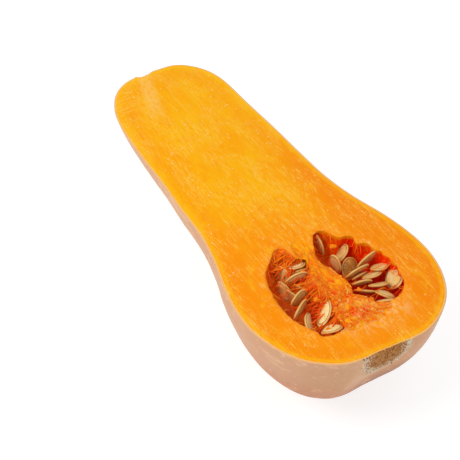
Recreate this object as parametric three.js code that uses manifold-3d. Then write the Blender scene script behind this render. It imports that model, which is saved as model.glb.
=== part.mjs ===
// Half of a butternut squash, cut lengthwise through its flesh and its seed cavity, lying on its rounded back
// with the cut face up. One body grew as a single piece (flesh, rind, pulp web, scars); every seed is a piece of its own.
//
// Everything is drawn first in the frame of the cut: millimetres, x from the blossom end to the stem end,
// y across, z = 0 on the cut plane with the flesh below it. The last step tilts that frame until the bulb and
// the neck both rest on the floor, and moves the origin under the middle of the object.
import * as THREE from "three";
import { mergeVertices } from "three/addons/utils/BufferGeometryUtils.js";
import Module from "manifold-3d";

const wasm = await Module();
wasm.setup();

// ---------------------------------------------------------------- driving dimensions (mm, degrees)
// Outline of the cut face, rind included, anticlockwise from the blossom end.
const RIM = [
  [1.6, 7.6], [0.1, -8.7], [0.5, -19.1], [3.3, -27.9], [8.0, -36.1], [14.3, -43.2], [22.3, -48.7], [32.0, -52.7],
  [43.5, -54.9], [57.4, -54.6], [75.2, -51.3], [98.0, -44.4], [118.7, -40.6], [140.3, -39.5], [166.9, -38.8],
  [193.0, -37.5], [215.3, -36.8], [226.4, -34.8], [234.1, -31.3], [239.9, -26.7], [244.2, -21.6], [246.8, -15.1],
  [247.4, -6.0], [247.4, 6.5], [246.1, 15.6], [242.9, 22.5], [238.1, 28.2], [231.2, 33.0], [221.7, 37.2],
  [207.7, 40.1], [184.5, 41.9], [158.6, 42.8], [136.5, 44.4], [114.5, 45.3], [93.4, 49.2], [75.2, 54.6],
  [60.6, 57.5], [47.1, 58.0], [35.2, 55.7], [24.5, 51.6], [16.2, 46.2], [9.9, 39.3], [5.1, 31.7], [2.4, 22.5],
];
const RIM_STEPS = 2; // points per span of the outline
const LEVELS = 12; // rows of faces from the rim down to the keel
// The rounded back: sections across the spine, each with its centre height, its lateral centre and its depth.
const SPINE_START = 44, SPINE_END = 221, SPINE_BLEND = 10;
const STATION_X = [48, 65, 85, 110, 150, 190, 217];
const SECTION_DEPTH = [63.3, 60.8, 54.6, 47.2, 42.6, 39.9, 37.4];
const CENTRE_Z = [-3.0, -2.4, -1.4, 0.2, 3.4, 6.4, 8.4];
const CENTRE_Y = [1.3, 1.6, 1.8, 2.0, 2.2, 1.8, 1.0];
const BLOSSOM_UNDERCUT = 2.0;
const CONTACT_FLAT = 0.45; // depth of the small flats the half settles on

// The seed cavity is two lobes, one each side of a web of fibrous pulp.
const LOBE_LEFT = { depth: 19, lean: [3, -3], outline: [[84.5, 13], [83, 18], [80, 22], [76, 27], [71, 31.5], [62, 35], [50, 36.8], [40, 36.3], [32, 33.5], [26, 29], [23.5, 22], [25, 15.5], [32, 11.5], [42, 10], [54, 8.5], [66, 9], [76, 9.5]] };
const LOBE_RIGHT = { depth: 21.5, lean: [3, -1], outline: [[85.5, -10.5], [81.5, -5.5], [74, -1.2], [67, 0.2], [59, -2.5], [50, -4], [42, -4], [34, -6], [27.5, -9.5], [24.5, -16], [26.5, -24.5], [32, -31], [41, -33.5], [50, -33.6], [58, -32], [66, -28], [72, -22.5], [77.5, -14.5]] };
const LOBE_RINGS = 6;

// Scars: the corky disc of the blossom end and the shallow dish the stem left.
const BLOSSOM_SCAR = { centre: [3.2, 6.0, -4], radius: [2.7, 15, 15.5] };
const STEM_SCAR = { centre: [249.6, 5, -4], radius: [4.2, 9, 8] };

// Seeds. a and b are the two ends of the long axis where they show in the plane of the cut, ha and hb how deep
// the ends lie, roll how far the flat face is turned from facing SIGHT, and w the width.
const SIGHT = [-240.97, 279.65, 443.65]; // the point the flat faces are turned from
const SEEDS = {
  seed_right_01: { a: [81.89, -8.98], b: [69.64, -3.13], ha: 2.6, hb: 12.5, roll: 66, w: 7.6 },
  seed_right_02: { a: [59.7, -6.0], b: [68.8, -18.4], ha: 10.37, hb: 6.31, roll: -59.5, w: 9.2 },
  seed_right_03: { a: [54.16, -2.6], b: [65.24, -8.14], ha: 13.98, hb: 2.94, roll: 55.6, w: 8.6 },
  seed_right_04: { a: [47.47, -3.1], b: [59.54, -15.76], ha: 15.19, hb: 8.47, roll: 28.9, w: 9.8 },
  seed_right_05: { a: [52.57, -13.33], b: [56.32, -31.02], ha: 7.47, hb: 4.16, roll: 74.6, w: 9.2 },
  seed_right_06: { a: [49.58, -4.11], b: [50.78, -20.13], ha: 7.36, hb: 5.88, roll: 76.9, w: 9.0 },
  seed_right_07: { a: [47.4, -18.8], b: [46.3, -29.2], ha: 4.88, hb: 7.62, roll: -62, w: 7.8 },
  seed_right_08: { a: [44.6, -11.7], b: [43.9, -22.1], ha: 5.66, hb: 7.11, roll: -68, w: 7.4 },
  seed_right_09: { a: [44.38, -4.28], b: [40.72, -14.15], ha: 5.22, hb: 8.31, roll: 76.2, w: 8.8 },
  seed_right_10: { a: [43.27, -28.51], b: [30.7, -23.85], ha: 8.1, hb: 5.44, roll: 18.4, w: 11.0 },
  seed_right_11: { a: [38.73, -10.88], b: [35.89, -21.03], ha: 4.04, hb: 6.74, roll: -81.5, w: 8.6 },
  seed_right_12: { a: [40.4, -2.7], b: [32.7, -12.4], ha: 5.07, hb: 9.46, roll: 79.4, w: 8.4 },
  seed_right_13: { a: [34.15, -11.8], b: [26.22, -18.41], ha: 3.13, hb: 7.94, roll: -68, w: 7.4 },
  seed_right_14: { a: [28.6, -6.95], b: [23.95, -18.15], ha: 4.21, hb: 3.28, roll: -92.9, w: 7.2 },
  seed_right_15: { a: [46.97, -6.63], b: [46.39, -15.11], ha: 8.12, hb: 12.9, roll: 78.8, w: 8.2 },
  seed_left_01: { a: [70.8, 20.2], b: [69.2, 8.2], ha: 4.59, hb: 5.09, roll: -66.4, w: 9.4 },
  seed_left_02: { a: [72.08, 22.42], b: [61.85, 25.06], ha: 4.84, hb: 9.67, roll: 35.4, w: 8.8 },
  seed_left_03: { a: [62.9, 25.42], b: [61.39, 11.23], ha: 5.61, hb: 4.2, roll: 62.4, w: 9.4 },
  seed_left_04: { a: [65.2, 21.6], b: [64.2, 9.5], ha: 8.63, hb: 7.12, roll: 75.1, w: 8.0 },
  seed_left_05: { a: [63.61, 27.78], b: [52.48, 30.27], ha: 6.5, hb: 12.5, roll: 48.6, w: 8.8 },
  seed_left_06: { a: [57.56, 26.96], b: [46.68, 28.63], ha: 4.98, hb: 14.36, roll: 54.7, w: 8.6 },
  seed_left_07: { a: [57.98, 21.52], b: [47.94, 20.42], ha: 6.0, hb: 10.5, roll: 66, w: 7.4 },
  seed_left_08: { a: [49.1, 31.1], b: [51.5, 19.8], ha: 4.11, hb: 5.0, roll: 57.4, w: 9.2 },
  seed_left_09: { a: [40.1, 35.8], b: [46.8, 22.5], ha: 5.6, hb: 6.5, roll: 71.5, w: 9.0 },
  seed_left_10: { a: [39.8, 26.2], b: [30.8, 33.2], ha: 9.5, hb: 3.6, roll: -58, w: 7.0 },
  seed_left_11: { a: [42.3, 12.2], b: [29.3, 26.3], ha: 3.05, hb: 5.39, roll: -46, w: 8.2 },
  seed_left_12: { a: [26.0, 28.7], b: [25.0, 16.4], ha: 3.04, hb: 3.57, roll: -56, w: 7.2 },
};
const SEED_THICK = 1.9;
const SEED_CLEARANCE = 0.35; // gap between a seed and whatever it nestles in
const CUT_CLEARANCE = 0.2; // seeds stay this far under the cut plane

// Rest pose: the cut face dips toward the neck by this angle.
const REST_TILT = 12.2;

// ---------------------------------------------------------------- helpers
const clamp = (v, lo, hi) => Math.min(hi, Math.max(lo, v));

// Smooth curve through a table of values.
function table(xt, yt, x) {
  x = clamp(x, xt[0], xt[xt.length - 1]);
  const n = xt.length, s = [], m = [];
  for (let i = 0; i < n - 1; i++) s.push((yt[i + 1] - yt[i]) / (xt[i + 1] - xt[i]));
  for (let i = 0; i < n; i++) {
    if (i === 0) m.push(s[0]);
    else if (i === n - 1) m.push(s[n - 2]);
    else m.push((s[i] * (xt[i] - xt[i - 1]) + s[i - 1] * (xt[i + 1] - xt[i])) / (xt[i + 1] - xt[i - 1]));
  }
  let i = 0;
  while (i < n - 2 && x >= xt[i + 1]) i++;
  const h = xt[i + 1] - xt[i], t = (x - xt[i]) / h, t2 = t * t, t3 = t2 * t;
  return (2 * t3 - 3 * t2 + 1) * yt[i] + (t3 - 2 * t2 + t) * h * m[i] + (-2 * t3 + 3 * t2) * yt[i + 1] + (t3 - t2) * h * m[i + 1];
}

// Closed Catmull-Rom curve through 2-D points.
function closedCurve(points, steps) {
  const n = points.length, out = [];
  for (let i = 0; i < n; i++) {
    const [p0, p1, p2, p3] = [points[(i + n - 1) % n], points[i], points[(i + 1) % n], points[(i + 2) % n]];
    for (let k = 0; k < steps; k++) {
      const u = k / steps;
      out.push([0, 1].map((c) => 0.5 * (2 * p1[c] + (p2[c] - p0[c]) * u + (2 * p0[c] - 5 * p1[c] + 4 * p2[c] - p3[c]) * u * u + (3 * p1[c] - p0[c] - 3 * p2[c] + p3[c]) * u * u * u)));
    }
  }
  return out;
}

// Closes a long thin ring across its width: walks both sides from the first point to the farthest one.
function zipper(ring, start) {
  const n = ring.length, far = ring.reduce((m, p, i) => (p[0] > ring[m][0] ? i : m), 0), out = [];
  let near = ring.reduce((m, p, i) => (p[0] < ring[m][0] ? i : m), 0);
  let a = near, b = near;
  const next = (i) => (i + 1) % n, prev = (i) => (i + n - 1) % n;
  while (true) {
    const canA = a !== far, canB = b !== far;
    if (!canA && !canB) break;
    const stepA = canA && (!canB || ring[next(a)][0] <= ring[prev(b)][0]);
    if (stepA) { if (next(a) !== b && a !== b) out.push([a, b, next(a)]); else if (a === b && next(a) !== b) { a = next(a); continue; } a = next(a); }
    else { if (prev(b) !== a) out.push([a, b, prev(b)]); b = prev(b); }
  }
  return out.filter(([p, q, r]) => p !== q && q !== r && p !== r).map((t) => t.map((i) => start + i));
}

// A closed solid from rings of equal length, each ring anticlockwise seen from above, listed from the top down.
function ringSolid(rings, keel = false) {
  const n = rings[0].length, pos = [], idx = [];
  for (const r of rings) for (const p of r) pos.push(...p);
  for (let j = 0; j < rings.length - 1; j++)
    for (let i = 0; i < n; i++) {
      const a = j * n + i, b = j * n + ((i + 1) % n), c = a + n, d = b + n;
      idx.push(a, c, b, b, c, d);
    }
  const cap = (ring, start, up) => {
    const shape = ring.map((p) => new THREE.Vector2(p[0], p[1]));
    for (const [a, b, c] of THREE.ShapeUtils.triangulateShape(shape, []))
      up ? idx.push(start + a, start + b, start + c) : idx.push(start + a, start + c, start + b);
  };
  cap(rings[0], 0, true);
  if (keel) for (const [a, b, c] of zipper(rings[rings.length - 1], (rings.length - 1) * n)) idx.push(a, b, c);
  else cap(rings[rings.length - 1], (rings.length - 1) * n, false);
  const g = new THREE.BufferGeometry();
  g.setAttribute("position", new THREE.Float32BufferAttribute(pos, 3));
  g.setIndex(idx);
  return g;
}

// three.js geometry to a solid and back.
function toSolid(geometry) {
  let g = geometry.clone();
  g.deleteAttribute("normal");
  g.deleteAttribute("uv");
  g = mergeVertices(g, 1e-4);
  return new wasm.Manifold(new wasm.Mesh({ numProp: 3, vertProperties: new Float32Array(g.attributes.position.array), triVerts: new Uint32Array(g.index.array) }));
}
function fromSolid(solid) {
  const m = solid.getMesh();
  const g = new THREE.BufferGeometry();
  g.setAttribute("position", new THREE.Float32BufferAttribute(m.vertProperties, 3));
  g.setIndex(new THREE.Uint32BufferAttribute(m.triVerts, 1));
  g.computeVertexNormals();
  return g;
}

// ---------------------------------------------------------------- the body
// A point of the rounded back, from its place on the rim and how far down toward the keel it lies (0 to 1).
function backPoint([xr, yr], v) {
  let xk = SPINE_START + SPINE_BLEND * Math.log1p(Math.exp((xr - SPINE_START) / SPINE_BLEND));
  if (xr - SPINE_START > 200) xk = xr;
  xk = SPINE_END - SPINE_BLEND * Math.log1p(Math.exp((SPINE_END - xk) / SPINE_BLEND));
  const z = table(STATION_X, CENTRE_Z, xk), depth = table(STATION_X, SECTION_DEPTH, xk), yc = table(STATION_X, CENTRE_Y, xk);
  const th0 = Math.asin(z / depth), th = th0 + (Math.PI / 2 - th0) * v;
  const lat = Math.cos(th) / Math.cos(th0);
  const e = clamp((30 - xr) / 30, 0, 1) ** 2 * (1 - clamp((yr + 5) / 40, 0, 1)), s = Math.sin(Math.PI * v);
  return [xk + (xr - xk) * lat + BLOSSOM_UNDERCUT * e * s, yc + (yr - yc) * lat * (1 - 0.05 * e * s), z - depth * Math.sin(th)];
}

const rim = closedCurve(RIM, RIM_STEPS);
const rings = [];
for (let j = 0; j < LEVELS; j++) {
  const v = Math.sin((Math.PI / 2) * (j / LEVELS)) ** 0.92 * 0.985;
  rings.push(rim.map((p) => backPoint(p, j === 0 ? 0 : v)));
}
let body = toSolid(ringSolid(rings, true));
if (body.volume() < 0) throw new Error("the body faces inwards");

// Corky blossom scar, slightly proud of the rind, cut off at the cut plane.
const scarGeometry = new THREE.SphereGeometry(1, 20, 12).scale(...BLOSSOM_SCAR.radius);
scarGeometry.translate(...BLOSSOM_SCAR.centre);
body = body.add(toSolid(scarGeometry));
const above = toSolid(new THREE.BoxGeometry(320, 200, 60).translate(124, 0, 30));
body = body.subtract(above);
// Shallow dish where the stem broke away.
const dish = new THREE.SphereGeometry(1, 20, 12).scale(...STEM_SCAR.radius).translate(...STEM_SCAR.centre);
body = body.subtract(toSolid(dish));

// A lobe of the cavity: its outline narrows toward a rounded floor, and leans under the flesh as it deepens.
function lobe({ depth, lean, outline }) {
  const pts = closedCurve(outline, 2);
  let cx = 0, cy = 0;
  for (const p of pts) { cx += p[0] / pts.length; cy += p[1] / pts.length; }
  const list = [pts.map((p) => [p[0], p[1], 3])];
  for (let j = 0; j <= LOBE_RINGS; j++) {
    const a = (Math.PI / 2) * (j / (LOBE_RINGS + 0.6)), s = Math.cos(a) ** 0.75, d = depth * Math.sin(a), k = d / depth;
    list.push(pts.map((p) => [cx + (p[0] - cx) * s + lean[0] * k, cy + (p[1] - cy) * s + lean[1] * k, -d]));
  }
  const area = pts.reduce((t, p, i) => { const q = pts[(i + 1) % pts.length]; return t + p[0] * q[1] - q[0] * p[1]; }, 0);
  if (area < 0) list.forEach((r) => r.reverse());
  return toSolid(ringSolid(list));
}
body = body.subtract(lobe(LOBE_LEFT)).subtract(lobe(LOBE_RIGHT));

// ---------------------------------------------------------------- the seeds
const eye = new THREE.Vector3(...SIGHT);
function seedFrame({ a, b, ha, hb, roll }) {
  const end = ([x, y], h) => {
    const onCut = new THREE.Vector3(x, y, 0), away = onCut.clone().sub(eye);
    return onCut.addScaledVector(away, h / -away.z);
  };
  const A = end(a, ha), B = end(b, hb);
  const long = B.clone().sub(A), length = long.length();
  long.normalize();
  const mid = A.clone().add(B).multiplyScalar(0.5);
  const view = eye.clone().sub(mid).normalize();
  const face = view.clone().addScaledVector(long, -view.dot(long)).normalize();
  const side = new THREE.Vector3().crossVectors(long, face);
  const r = THREE.MathUtils.degToRad(roll);
  // the flat face turns away from the line of sight about the long axis, its low edge going down
  const s1 = side.z > 0 ? 1 : -1;
  const normal = face.clone().multiplyScalar(Math.cos(r)).addScaledVector(side, -s1 * Math.sin(r));
  const across = new THREE.Vector3().crossVectors(normal, long);
  return { mid, long, normal, across, length };
}
// Outline of a seed along its length: pointed at the hilum, widest past the middle, round at the far end.
const SEED_PROFILE = [[-0.5, 0.1], [-0.42, 0.34], [-0.28, 0.66], [-0.1, 0.92], [0.08, 1], [0.26, 0.92], [0.4, 0.68], [0.48, 0.36]];
function seedSolid(spec, grow) {
  const f = seedFrame(spec), L = Math.max(f.length, 12.5) + 2 * grow, W = spec.w + 2 * grow, T = SEED_THICK + 2 * grow;
  const outline = [...SEED_PROFILE.map(([t, h]) => [t * L, (h * W) / 2]), [0.5 * L, 0], ...SEED_PROFILE.slice().reverse().map(([t, h]) => [t * L, (-h * W) / 2])];
  // two rims and a raised middle on each side
  const inner = outline.map(([x, y]) => [x * 0.72, y * 0.66]);
  const ring = (pts, z) => pts.map(([x, y]) => [x, y, z]);
  const list = [ring(inner, T / 2), ring(outline, T * 0.3), ring(outline, -T * 0.3), ring(inner, -T / 2)];
  const area = outline.reduce((t, p, i) => { const q = outline[(i + 1) % outline.length]; return t + p[0] * q[1] - q[0] * p[1]; }, 0);
  if (area < 0) list.forEach((r) => r.reverse());
  const g = ringSolid(list);
  const m = new THREE.Matrix4().makeBasis(f.long, f.across.clone().negate(), f.normal);
  if (m.determinant() < 0) m.makeBasis(f.long, f.across, f.normal);
  m.setPosition(f.mid);
  g.applyMatrix4(m);
  return toSolid(g);
}
const lid = toSolid(new THREE.BoxGeometry(320, 200, 60).translate(124, 0, 30 - CUT_CLEARANCE));
const seeds = {};
for (const [name, spec] of Object.entries(SEEDS)) {
  let s = seedSolid(spec, 0).subtract(lid);
  for (const other of Object.values(seeds)) {
    if (s.intersect(other.grown).volume() > 0) s = s.subtract(other.grown);
  }
  const bodies = s.decompose().sort((p, q) => q.volume() - p.volume());
  seeds[name] = { solid: bodies[0], grown: seedSolid(spec, SEED_CLEARANCE) };
}
for (const { grown } of Object.values(seeds)) body = body.subtract(grown);
body = body.decompose().sort((p, q) => q.volume() - p.volume())[0];

// ---------------------------------------------------------------- rest pose and frame
const tilt = new THREE.Matrix4().makeRotationY(THREE.MathUtils.degToRad(REST_TILT));
const tilted = (solid) => toSolid(fromSolid(solid).applyMatrix4(tilt));
let half = tilted(body);
const box = new THREE.Box3().setFromBufferAttribute(fromSolid(half).attributes.position);
const floor = box.min.z + CONTACT_FLAT;
half = half.subtract(toSolid(new THREE.BoxGeometry(400, 300, 40).translate(100, 0, floor - 20)));
const shift = new THREE.Matrix4().makeTranslation(-(box.min.x + box.max.x) / 2, -(box.min.y + box.max.y) / 2, -floor);

const group = new THREE.Group();
const flesh = new THREE.MeshStandardMaterial({ color: 0xff9c12, roughness: 0.42, metalness: 0 });
const squash = new THREE.Mesh(fromSolid(half).applyMatrix4(shift), flesh);
squash.name = "squash_half";
group.add(squash);
Object.entries(seeds).forEach(([name, { solid }], i) => {
  const shell = new THREE.MeshStandardMaterial({ color: i % 3 ? 0xe6cda6 : 0xb98a4e, roughness: 0.45, metalness: 0 });
  const mesh = new THREE.Mesh(fromSolid(tilted(solid)).applyMatrix4(shift), shell);
  mesh.name = name;
  group.add(mesh);
});

export default group;
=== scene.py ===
# Half of a butternut squash, cut lengthwise, lying on its rounded back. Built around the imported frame.
import math

import bpy
import numpy as np
from mathutils import Matrix, Vector


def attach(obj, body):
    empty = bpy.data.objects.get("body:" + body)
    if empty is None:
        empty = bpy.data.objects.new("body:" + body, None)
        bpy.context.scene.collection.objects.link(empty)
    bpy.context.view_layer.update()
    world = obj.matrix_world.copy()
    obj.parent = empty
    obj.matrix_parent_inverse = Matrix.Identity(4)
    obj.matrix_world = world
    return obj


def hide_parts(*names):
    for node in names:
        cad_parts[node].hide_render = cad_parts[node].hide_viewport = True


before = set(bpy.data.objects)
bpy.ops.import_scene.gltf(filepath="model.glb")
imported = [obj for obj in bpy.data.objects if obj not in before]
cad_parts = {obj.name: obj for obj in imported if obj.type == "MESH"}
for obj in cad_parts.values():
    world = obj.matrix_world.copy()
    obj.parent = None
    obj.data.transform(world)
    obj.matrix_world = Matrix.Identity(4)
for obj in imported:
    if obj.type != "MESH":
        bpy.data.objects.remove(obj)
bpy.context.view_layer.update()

rng = np.random.default_rng(20260)

# ------------------------------------------------------------------ frame of the cut (mm) to the row frame (m)
TILT = math.radians(12.2)
CT, ST = math.cos(TILT), math.sin(TILT)
ROT = np.array([[CT, 0, ST], [0, 1, 0], [-ST, 0, CT]])
SHIFT = np.array([-119.99117594957352, -1.4906253814697266, 75.06795959472656])


def to_row(p):
    return (np.asarray(p, float) @ ROT.T + SHIFT) / 1000.0


def to_cut(p):
    return (np.asarray(p, float) * 1000.0 - SHIFT) @ ROT


# ------------------------------------------------------------------ body surface: the same law as the CAD part
RIM = [
    [1.6, 7.6], [0.1, -8.7], [0.5, -19.1], [3.3, -27.9], [8.0, -36.1], [14.3, -43.2], [22.3, -48.7], [32.0, -52.7],
    [43.5, -54.9], [57.4, -54.6], [75.2, -51.3], [98.0, -44.4], [118.7, -40.6], [140.3, -39.5], [166.9, -38.8],
    [193.0, -37.5], [215.3, -36.8], [226.4, -34.8], [234.1, -31.3], [239.9, -26.7], [244.2, -21.6], [246.8, -15.1],
    [247.4, -6.0], [247.4, 6.5], [246.1, 15.6], [242.9, 22.5], [238.1, 28.2], [231.2, 33.0], [221.7, 37.2],
    [207.7, 40.1], [184.5, 41.9], [158.6, 42.8], [136.5, 44.4], [114.5, 45.3], [93.4, 49.2], [75.2, 54.6],
    [60.6, 57.5], [47.1, 58.0], [35.2, 55.7], [24.5, 51.6], [16.2, 46.2], [9.9, 39.3], [5.1, 31.7], [2.4, 22.5],
]
SPINE_START, SPINE_END, SPINE_BLEND = 44.0, 221.0, 10.0
STATION_X = np.array([48, 65, 85, 110, 150, 190, 217.0])
SECTION_DEPTH = np.array([63.3, 60.8, 54.6, 47.2, 42.6, 39.9, 37.4])
CENTRE_Z = np.array([-3.0, -2.4, -1.4, 0.2, 3.4, 6.4, 8.4])
CENTRE_Y = np.array([1.3, 1.6, 1.8, 2.0, 2.2, 1.8, 1.0])
BLOSSOM_UNDERCUT = 2.0
SIGHT = np.array([-240.97, 279.65, 443.65])


def smooth(a, b, x):
    t = np.clip((x - a) / (b - a), 0, 1)
    return t * t * (3 - 2 * t)


def table(xt, yt, x):
    x = np.clip(x, xt[0], xt[-1])
    s = np.diff(yt) / np.diff(xt)
    m = np.empty(len(xt))
    m[0], m[-1] = s[0], s[-1]
    m[1:-1] = (s[1:] * np.diff(xt)[:-1] + s[:-1] * np.diff(xt)[1:]) / (xt[2:] - xt[:-2])
    i = np.clip(np.searchsorted(xt, x, side="right") - 1, 0, len(xt) - 2)
    h = xt[i + 1] - xt[i]
    t = (x - xt[i]) / h
    return (2 * t**3 - 3 * t * t + 1) * yt[i] + (t**3 - 2 * t * t + t) * h * m[i] + (-2 * t**3 + 3 * t * t) * yt[i + 1] + (t**3 - t * t) * h * m[i + 1]


def closed_curve(points, steps):
    c = np.array(points, float)
    n = len(c)
    out = []
    for i in range(n):
        p0, p1, p2, p3 = c[i - 1], c[i], c[(i + 1) % n], c[(i + 2) % n]
        for u in np.arange(steps) / steps:
            out.append(0.5 * ((2 * p1) + (-p0 + p2) * u + (2 * p0 - 5 * p1 + 4 * p2 - p3) * u * u + (-p0 + 3 * p1 - 3 * p2 + p3) * u**3))
    return np.array(out)


def spine(xr):
    xk = SPINE_START + SPINE_BLEND * np.logaddexp(0, (xr - SPINE_START) / SPINE_BLEND)
    return SPINE_END - SPINE_BLEND * np.logaddexp(0, (SPINE_END - xk) / SPINE_BLEND)


def back_point(xr, yr, v):
    xk = spine(xr)
    z, depth, yc = table(STATION_X, CENTRE_Z, xk), table(STATION_X, SECTION_DEPTH, xk), table(STATION_X, CENTRE_Y, xk)
    th0 = np.arcsin(z / depth)
    th = th0 + (np.pi / 2 - th0) * v
    lat = np.cos(th) / np.cos(th0)
    e = np.clip((30 - xr) / 30, 0, 1) ** 2 * (1 - np.clip((yr + 5) / 40, 0, 1))
    s = np.sin(np.pi * v)
    return np.stack([xk + (xr - xk) * lat + BLOSSOM_UNDERCUT * e * s, yc + (yr - yc) * lat * (1 - 0.05 * e * s), z - depth * np.sin(th)], -1)


# ------------------------------------------------------------------ noise (seeded value noise, numpy)
class Noise:
    def __init__(self, seed, size=64):
        g = np.random.default_rng(seed)
        self.n = size
        self.t = g.random((size, size, size), dtype=np.float32) * 2 - 1

    def __call__(self, p, scale):
        q = np.asarray(p, np.float32) / np.asarray(scale, np.float32)
        i = np.floor(q).astype(int)
        f = q - i
        f = f * f * (3 - 2 * f)
        n, t = self.n, self.t
        x0, y0, z0 = i[..., 0] % n, i[..., 1] % n, i[..., 2] % n
        x1, y1, z1 = (x0 + 1) % n, (y0 + 1) % n, (z0 + 1) % n
        fx, fy, fz = f[..., 0], f[..., 1], f[..., 2]
        a = t[x0, y0, z0] * (1 - fx) + t[x1, y0, z0] * fx
        b = t[x0, y1, z0] * (1 - fx) + t[x1, y1, z0] * fx
        c = t[x0, y0, z1] * (1 - fx) + t[x1, y0, z1] * fx
        d = t[x0, y1, z1] * (1 - fx) + t[x1, y1, z1] * fx
        return (a * (1 - fy) + b * fy) * (1 - fz) + (c * (1 - fy) + d * fy) * fz


N1, N2, N3 = Noise(1), Noise(2), Noise(3)


# ------------------------------------------------------------------ mesh helpers
def make_mesh(name, verts_cut, faces, smooth_shade=True):
    me = bpy.data.meshes.new(name)
    v = to_row(verts_cut)
    me.from_pydata([], [], [])
    faces = [np.asarray(f, np.int32) for f in faces if len(f)]
    nv = len(v)
    me.vertices.add(nv)
    me.vertices.foreach_set("co", v.astype(np.float32).ravel())
    loops = np.concatenate([f.ravel() for f in faces])
    counts = np.concatenate([np.full(len(f), f.shape[1], np.int32) for f in faces])
    me.loops.add(len(loops))
    me.loops.foreach_set("vertex_index", loops)
    me.polygons.add(len(counts))
    me.polygons.foreach_set("loop_start", np.r_[0, np.cumsum(counts)[:-1]].astype(np.int32))
    me.update(calc_edges=True)
    me.validate()
    me.polygons.foreach_set("use_smooth", np.full(len(me.polygons), smooth_shade))
    ob = bpy.data.objects.new(name, me)
    bpy.context.collection.objects.link(ob)
    return ob


def coords(me):
    a = np.empty(len(me.vertices) * 3, np.float32)
    me.vertices.foreach_get("co", a)
    return a.reshape(-1, 3)


def set_attr(me, name, values):
    if values.ndim == 1:
        at = me.attributes.new(name, "FLOAT", "POINT")
        at.data.foreach_set("value", values.astype(np.float32))
    else:
        at = me.attributes.new(name, "FLOAT_VECTOR", "POINT")
        at.data.foreach_set("vector", values.astype(np.float32).ravel())


# ------------------------------------------------------------------ 1. outer body
def poly_distance(px, py, poly):
    """Signed distance to a closed polygon, negative inside."""
    d = np.full(px.shape, 1e9)
    inside = np.zeros(px.shape, bool)
    n = len(poly)
    for i in range(n):
        x0, y0 = poly[i]
        x1, y1 = poly[(i + 1) % n]
        ex, ey = x1 - x0, y1 - y0
        t = np.clip(((px - x0) * ex + (py - y0) * ey) / (ex * ex + ey * ey + 1e-12), 0, 1)
        d = np.minimum(d, (px - x0 - t * ex) ** 2 + (py - y0 - t * ey) ** 2)
        c = (y0 > py) != (y1 > py)
        with np.errstate(divide="ignore", invalid="ignore"):
            inside ^= c & (px < (x1 - x0) * (py - y0) / (y1 - y0 + 1e-30) + x0)
    d = np.sqrt(d)
    return np.where(inside, -d, d)


def sample_rim():
    dense = closed_curve(RIM, 40)
    q = np.vstack([dense, dense[:1]])
    seg = np.hypot(*np.diff(q, axis=0).T)
    mid = (q[1:] + q[:-1]) / 2
    want = np.where((mid[:, 0] < 14) & (mid[:, 1] > -16) & (mid[:, 1] < 30), 1 / 0.62, 1 / 1.5)
    want = np.where((mid[:, 0] > 238) & (np.abs(mid[:, 1] - 3) < 22), 1 / 0.75, want)
    c = np.r_[0, np.cumsum(seg * want)]
    n = int(c[-1])
    s = np.interp(np.arange(n) / n * c[-1], c, np.r_[0, np.cumsum(seg)])
    d = np.r_[0, np.cumsum(seg)]
    return np.stack([np.interp(s, d, q[:, 0]), np.interp(s, d, q[:, 1])], 1)


rim = sample_rim()
NR = len(rim)
tan = np.roll(rim, -1, 0) - np.roll(rim, 1, 0)
# the rim runs clockwise or anticlockwise: find the inward normal
area = 0.5 * np.sum(rim[:, 0] * np.roll(rim[:, 1], -1) - np.roll(rim[:, 0], -1) * rim[:, 1])
nin = np.stack([-tan[:, 1], tan[:, 0]], 1) * np.sign(area)
nin /= np.linalg.norm(nin, axis=1)[:, None]

SCAR_C, SCAR_R = np.array([6.0, -4.0]), np.array([15.0, 15.5])  # y, z of the blossom scar


def scar_field(p):
    """1 inside the corky blossom scar, ragged at its edge."""
    rag = N1(p, (2.6, 2.6, 2.6)) * 0.10 + N2(p, (1.1, 1.1, 1.1)) * 0.05
    r = np.hypot((p[..., 1] - SCAR_C[0]) / SCAR_R[0], (p[..., 2] - SCAR_C[1]) / SCAR_R[1]) + rag
    return np.where(p[..., 0] < 25, 1 - smooth(0.90, 1.02, r), 0.0), r


def outward(v):
    s, depth = table(STATION_X, CENTRE_Z, spine(v[..., 0])), 1.0
    c = np.stack([np.clip(v[..., 0], 50, 205), table(STATION_X, CENTRE_Y, np.clip(v[..., 0], 50, 215)), np.minimum(s, 0) * 0 + 0.0], -1)
    d = v - c
    return d / np.linalg.norm(d, axis=-1, keepdims=True)


levels = [0.0]
while levels[-1] < 0.985:
    depth_mm = levels[-1] * 95
    levels.append(levels[-1] + (0.0075 if depth_mm < 15 else 0.019))
levels = np.array(levels[:-1] + [0.985])
back = back_point(rim[None, :, 0], rim[None, :, 1], levels[:, None])

# fine unevenness of the rind: broad swells, faint ribs running lengthwise, corky scar
w = outward(back)
ang = np.arctan2(back[..., 1] - 1.5, -(back[..., 2] - 4))
fade = smooth(0.0, 0.10, levels)[:, None]
swell = 0.45 * N1(back, (38, 30, 30)) + 0.16 * N2(back, (13, 11, 11)) + 0.05 * N3(back, (3.5, 3.5, 3.5))
ribs = 0.28 * np.cos(ang * 9.0 + 0.6) * smooth(225, 120, back[..., 0]) * smooth(10, 50, back[..., 0])
keel = smooth(0.62, 0.80, levels)[:, None]  # leave the underside where it touches the floor
back = back + w * ((swell + ribs) * fade * (1 - 0.85 * keel))[..., None]
sf, sr = scar_field(back)
edge_ring = np.exp(-((sr - 0.97) / 0.06) ** 2) * (back[..., 0] < 25)
cork = 0.55 * sf + sf * (0.45 * N2(back, (1.3, 1.3, 1.3)) + 0.30 * N3(back, (0.7, 0.7, 0.7)) + 0.35 * N1(back, (3, 3, 3))) + 0.35 * edge_ring
cork *= np.minimum(1, 0.35 + levels * 60)[:, None]
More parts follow.
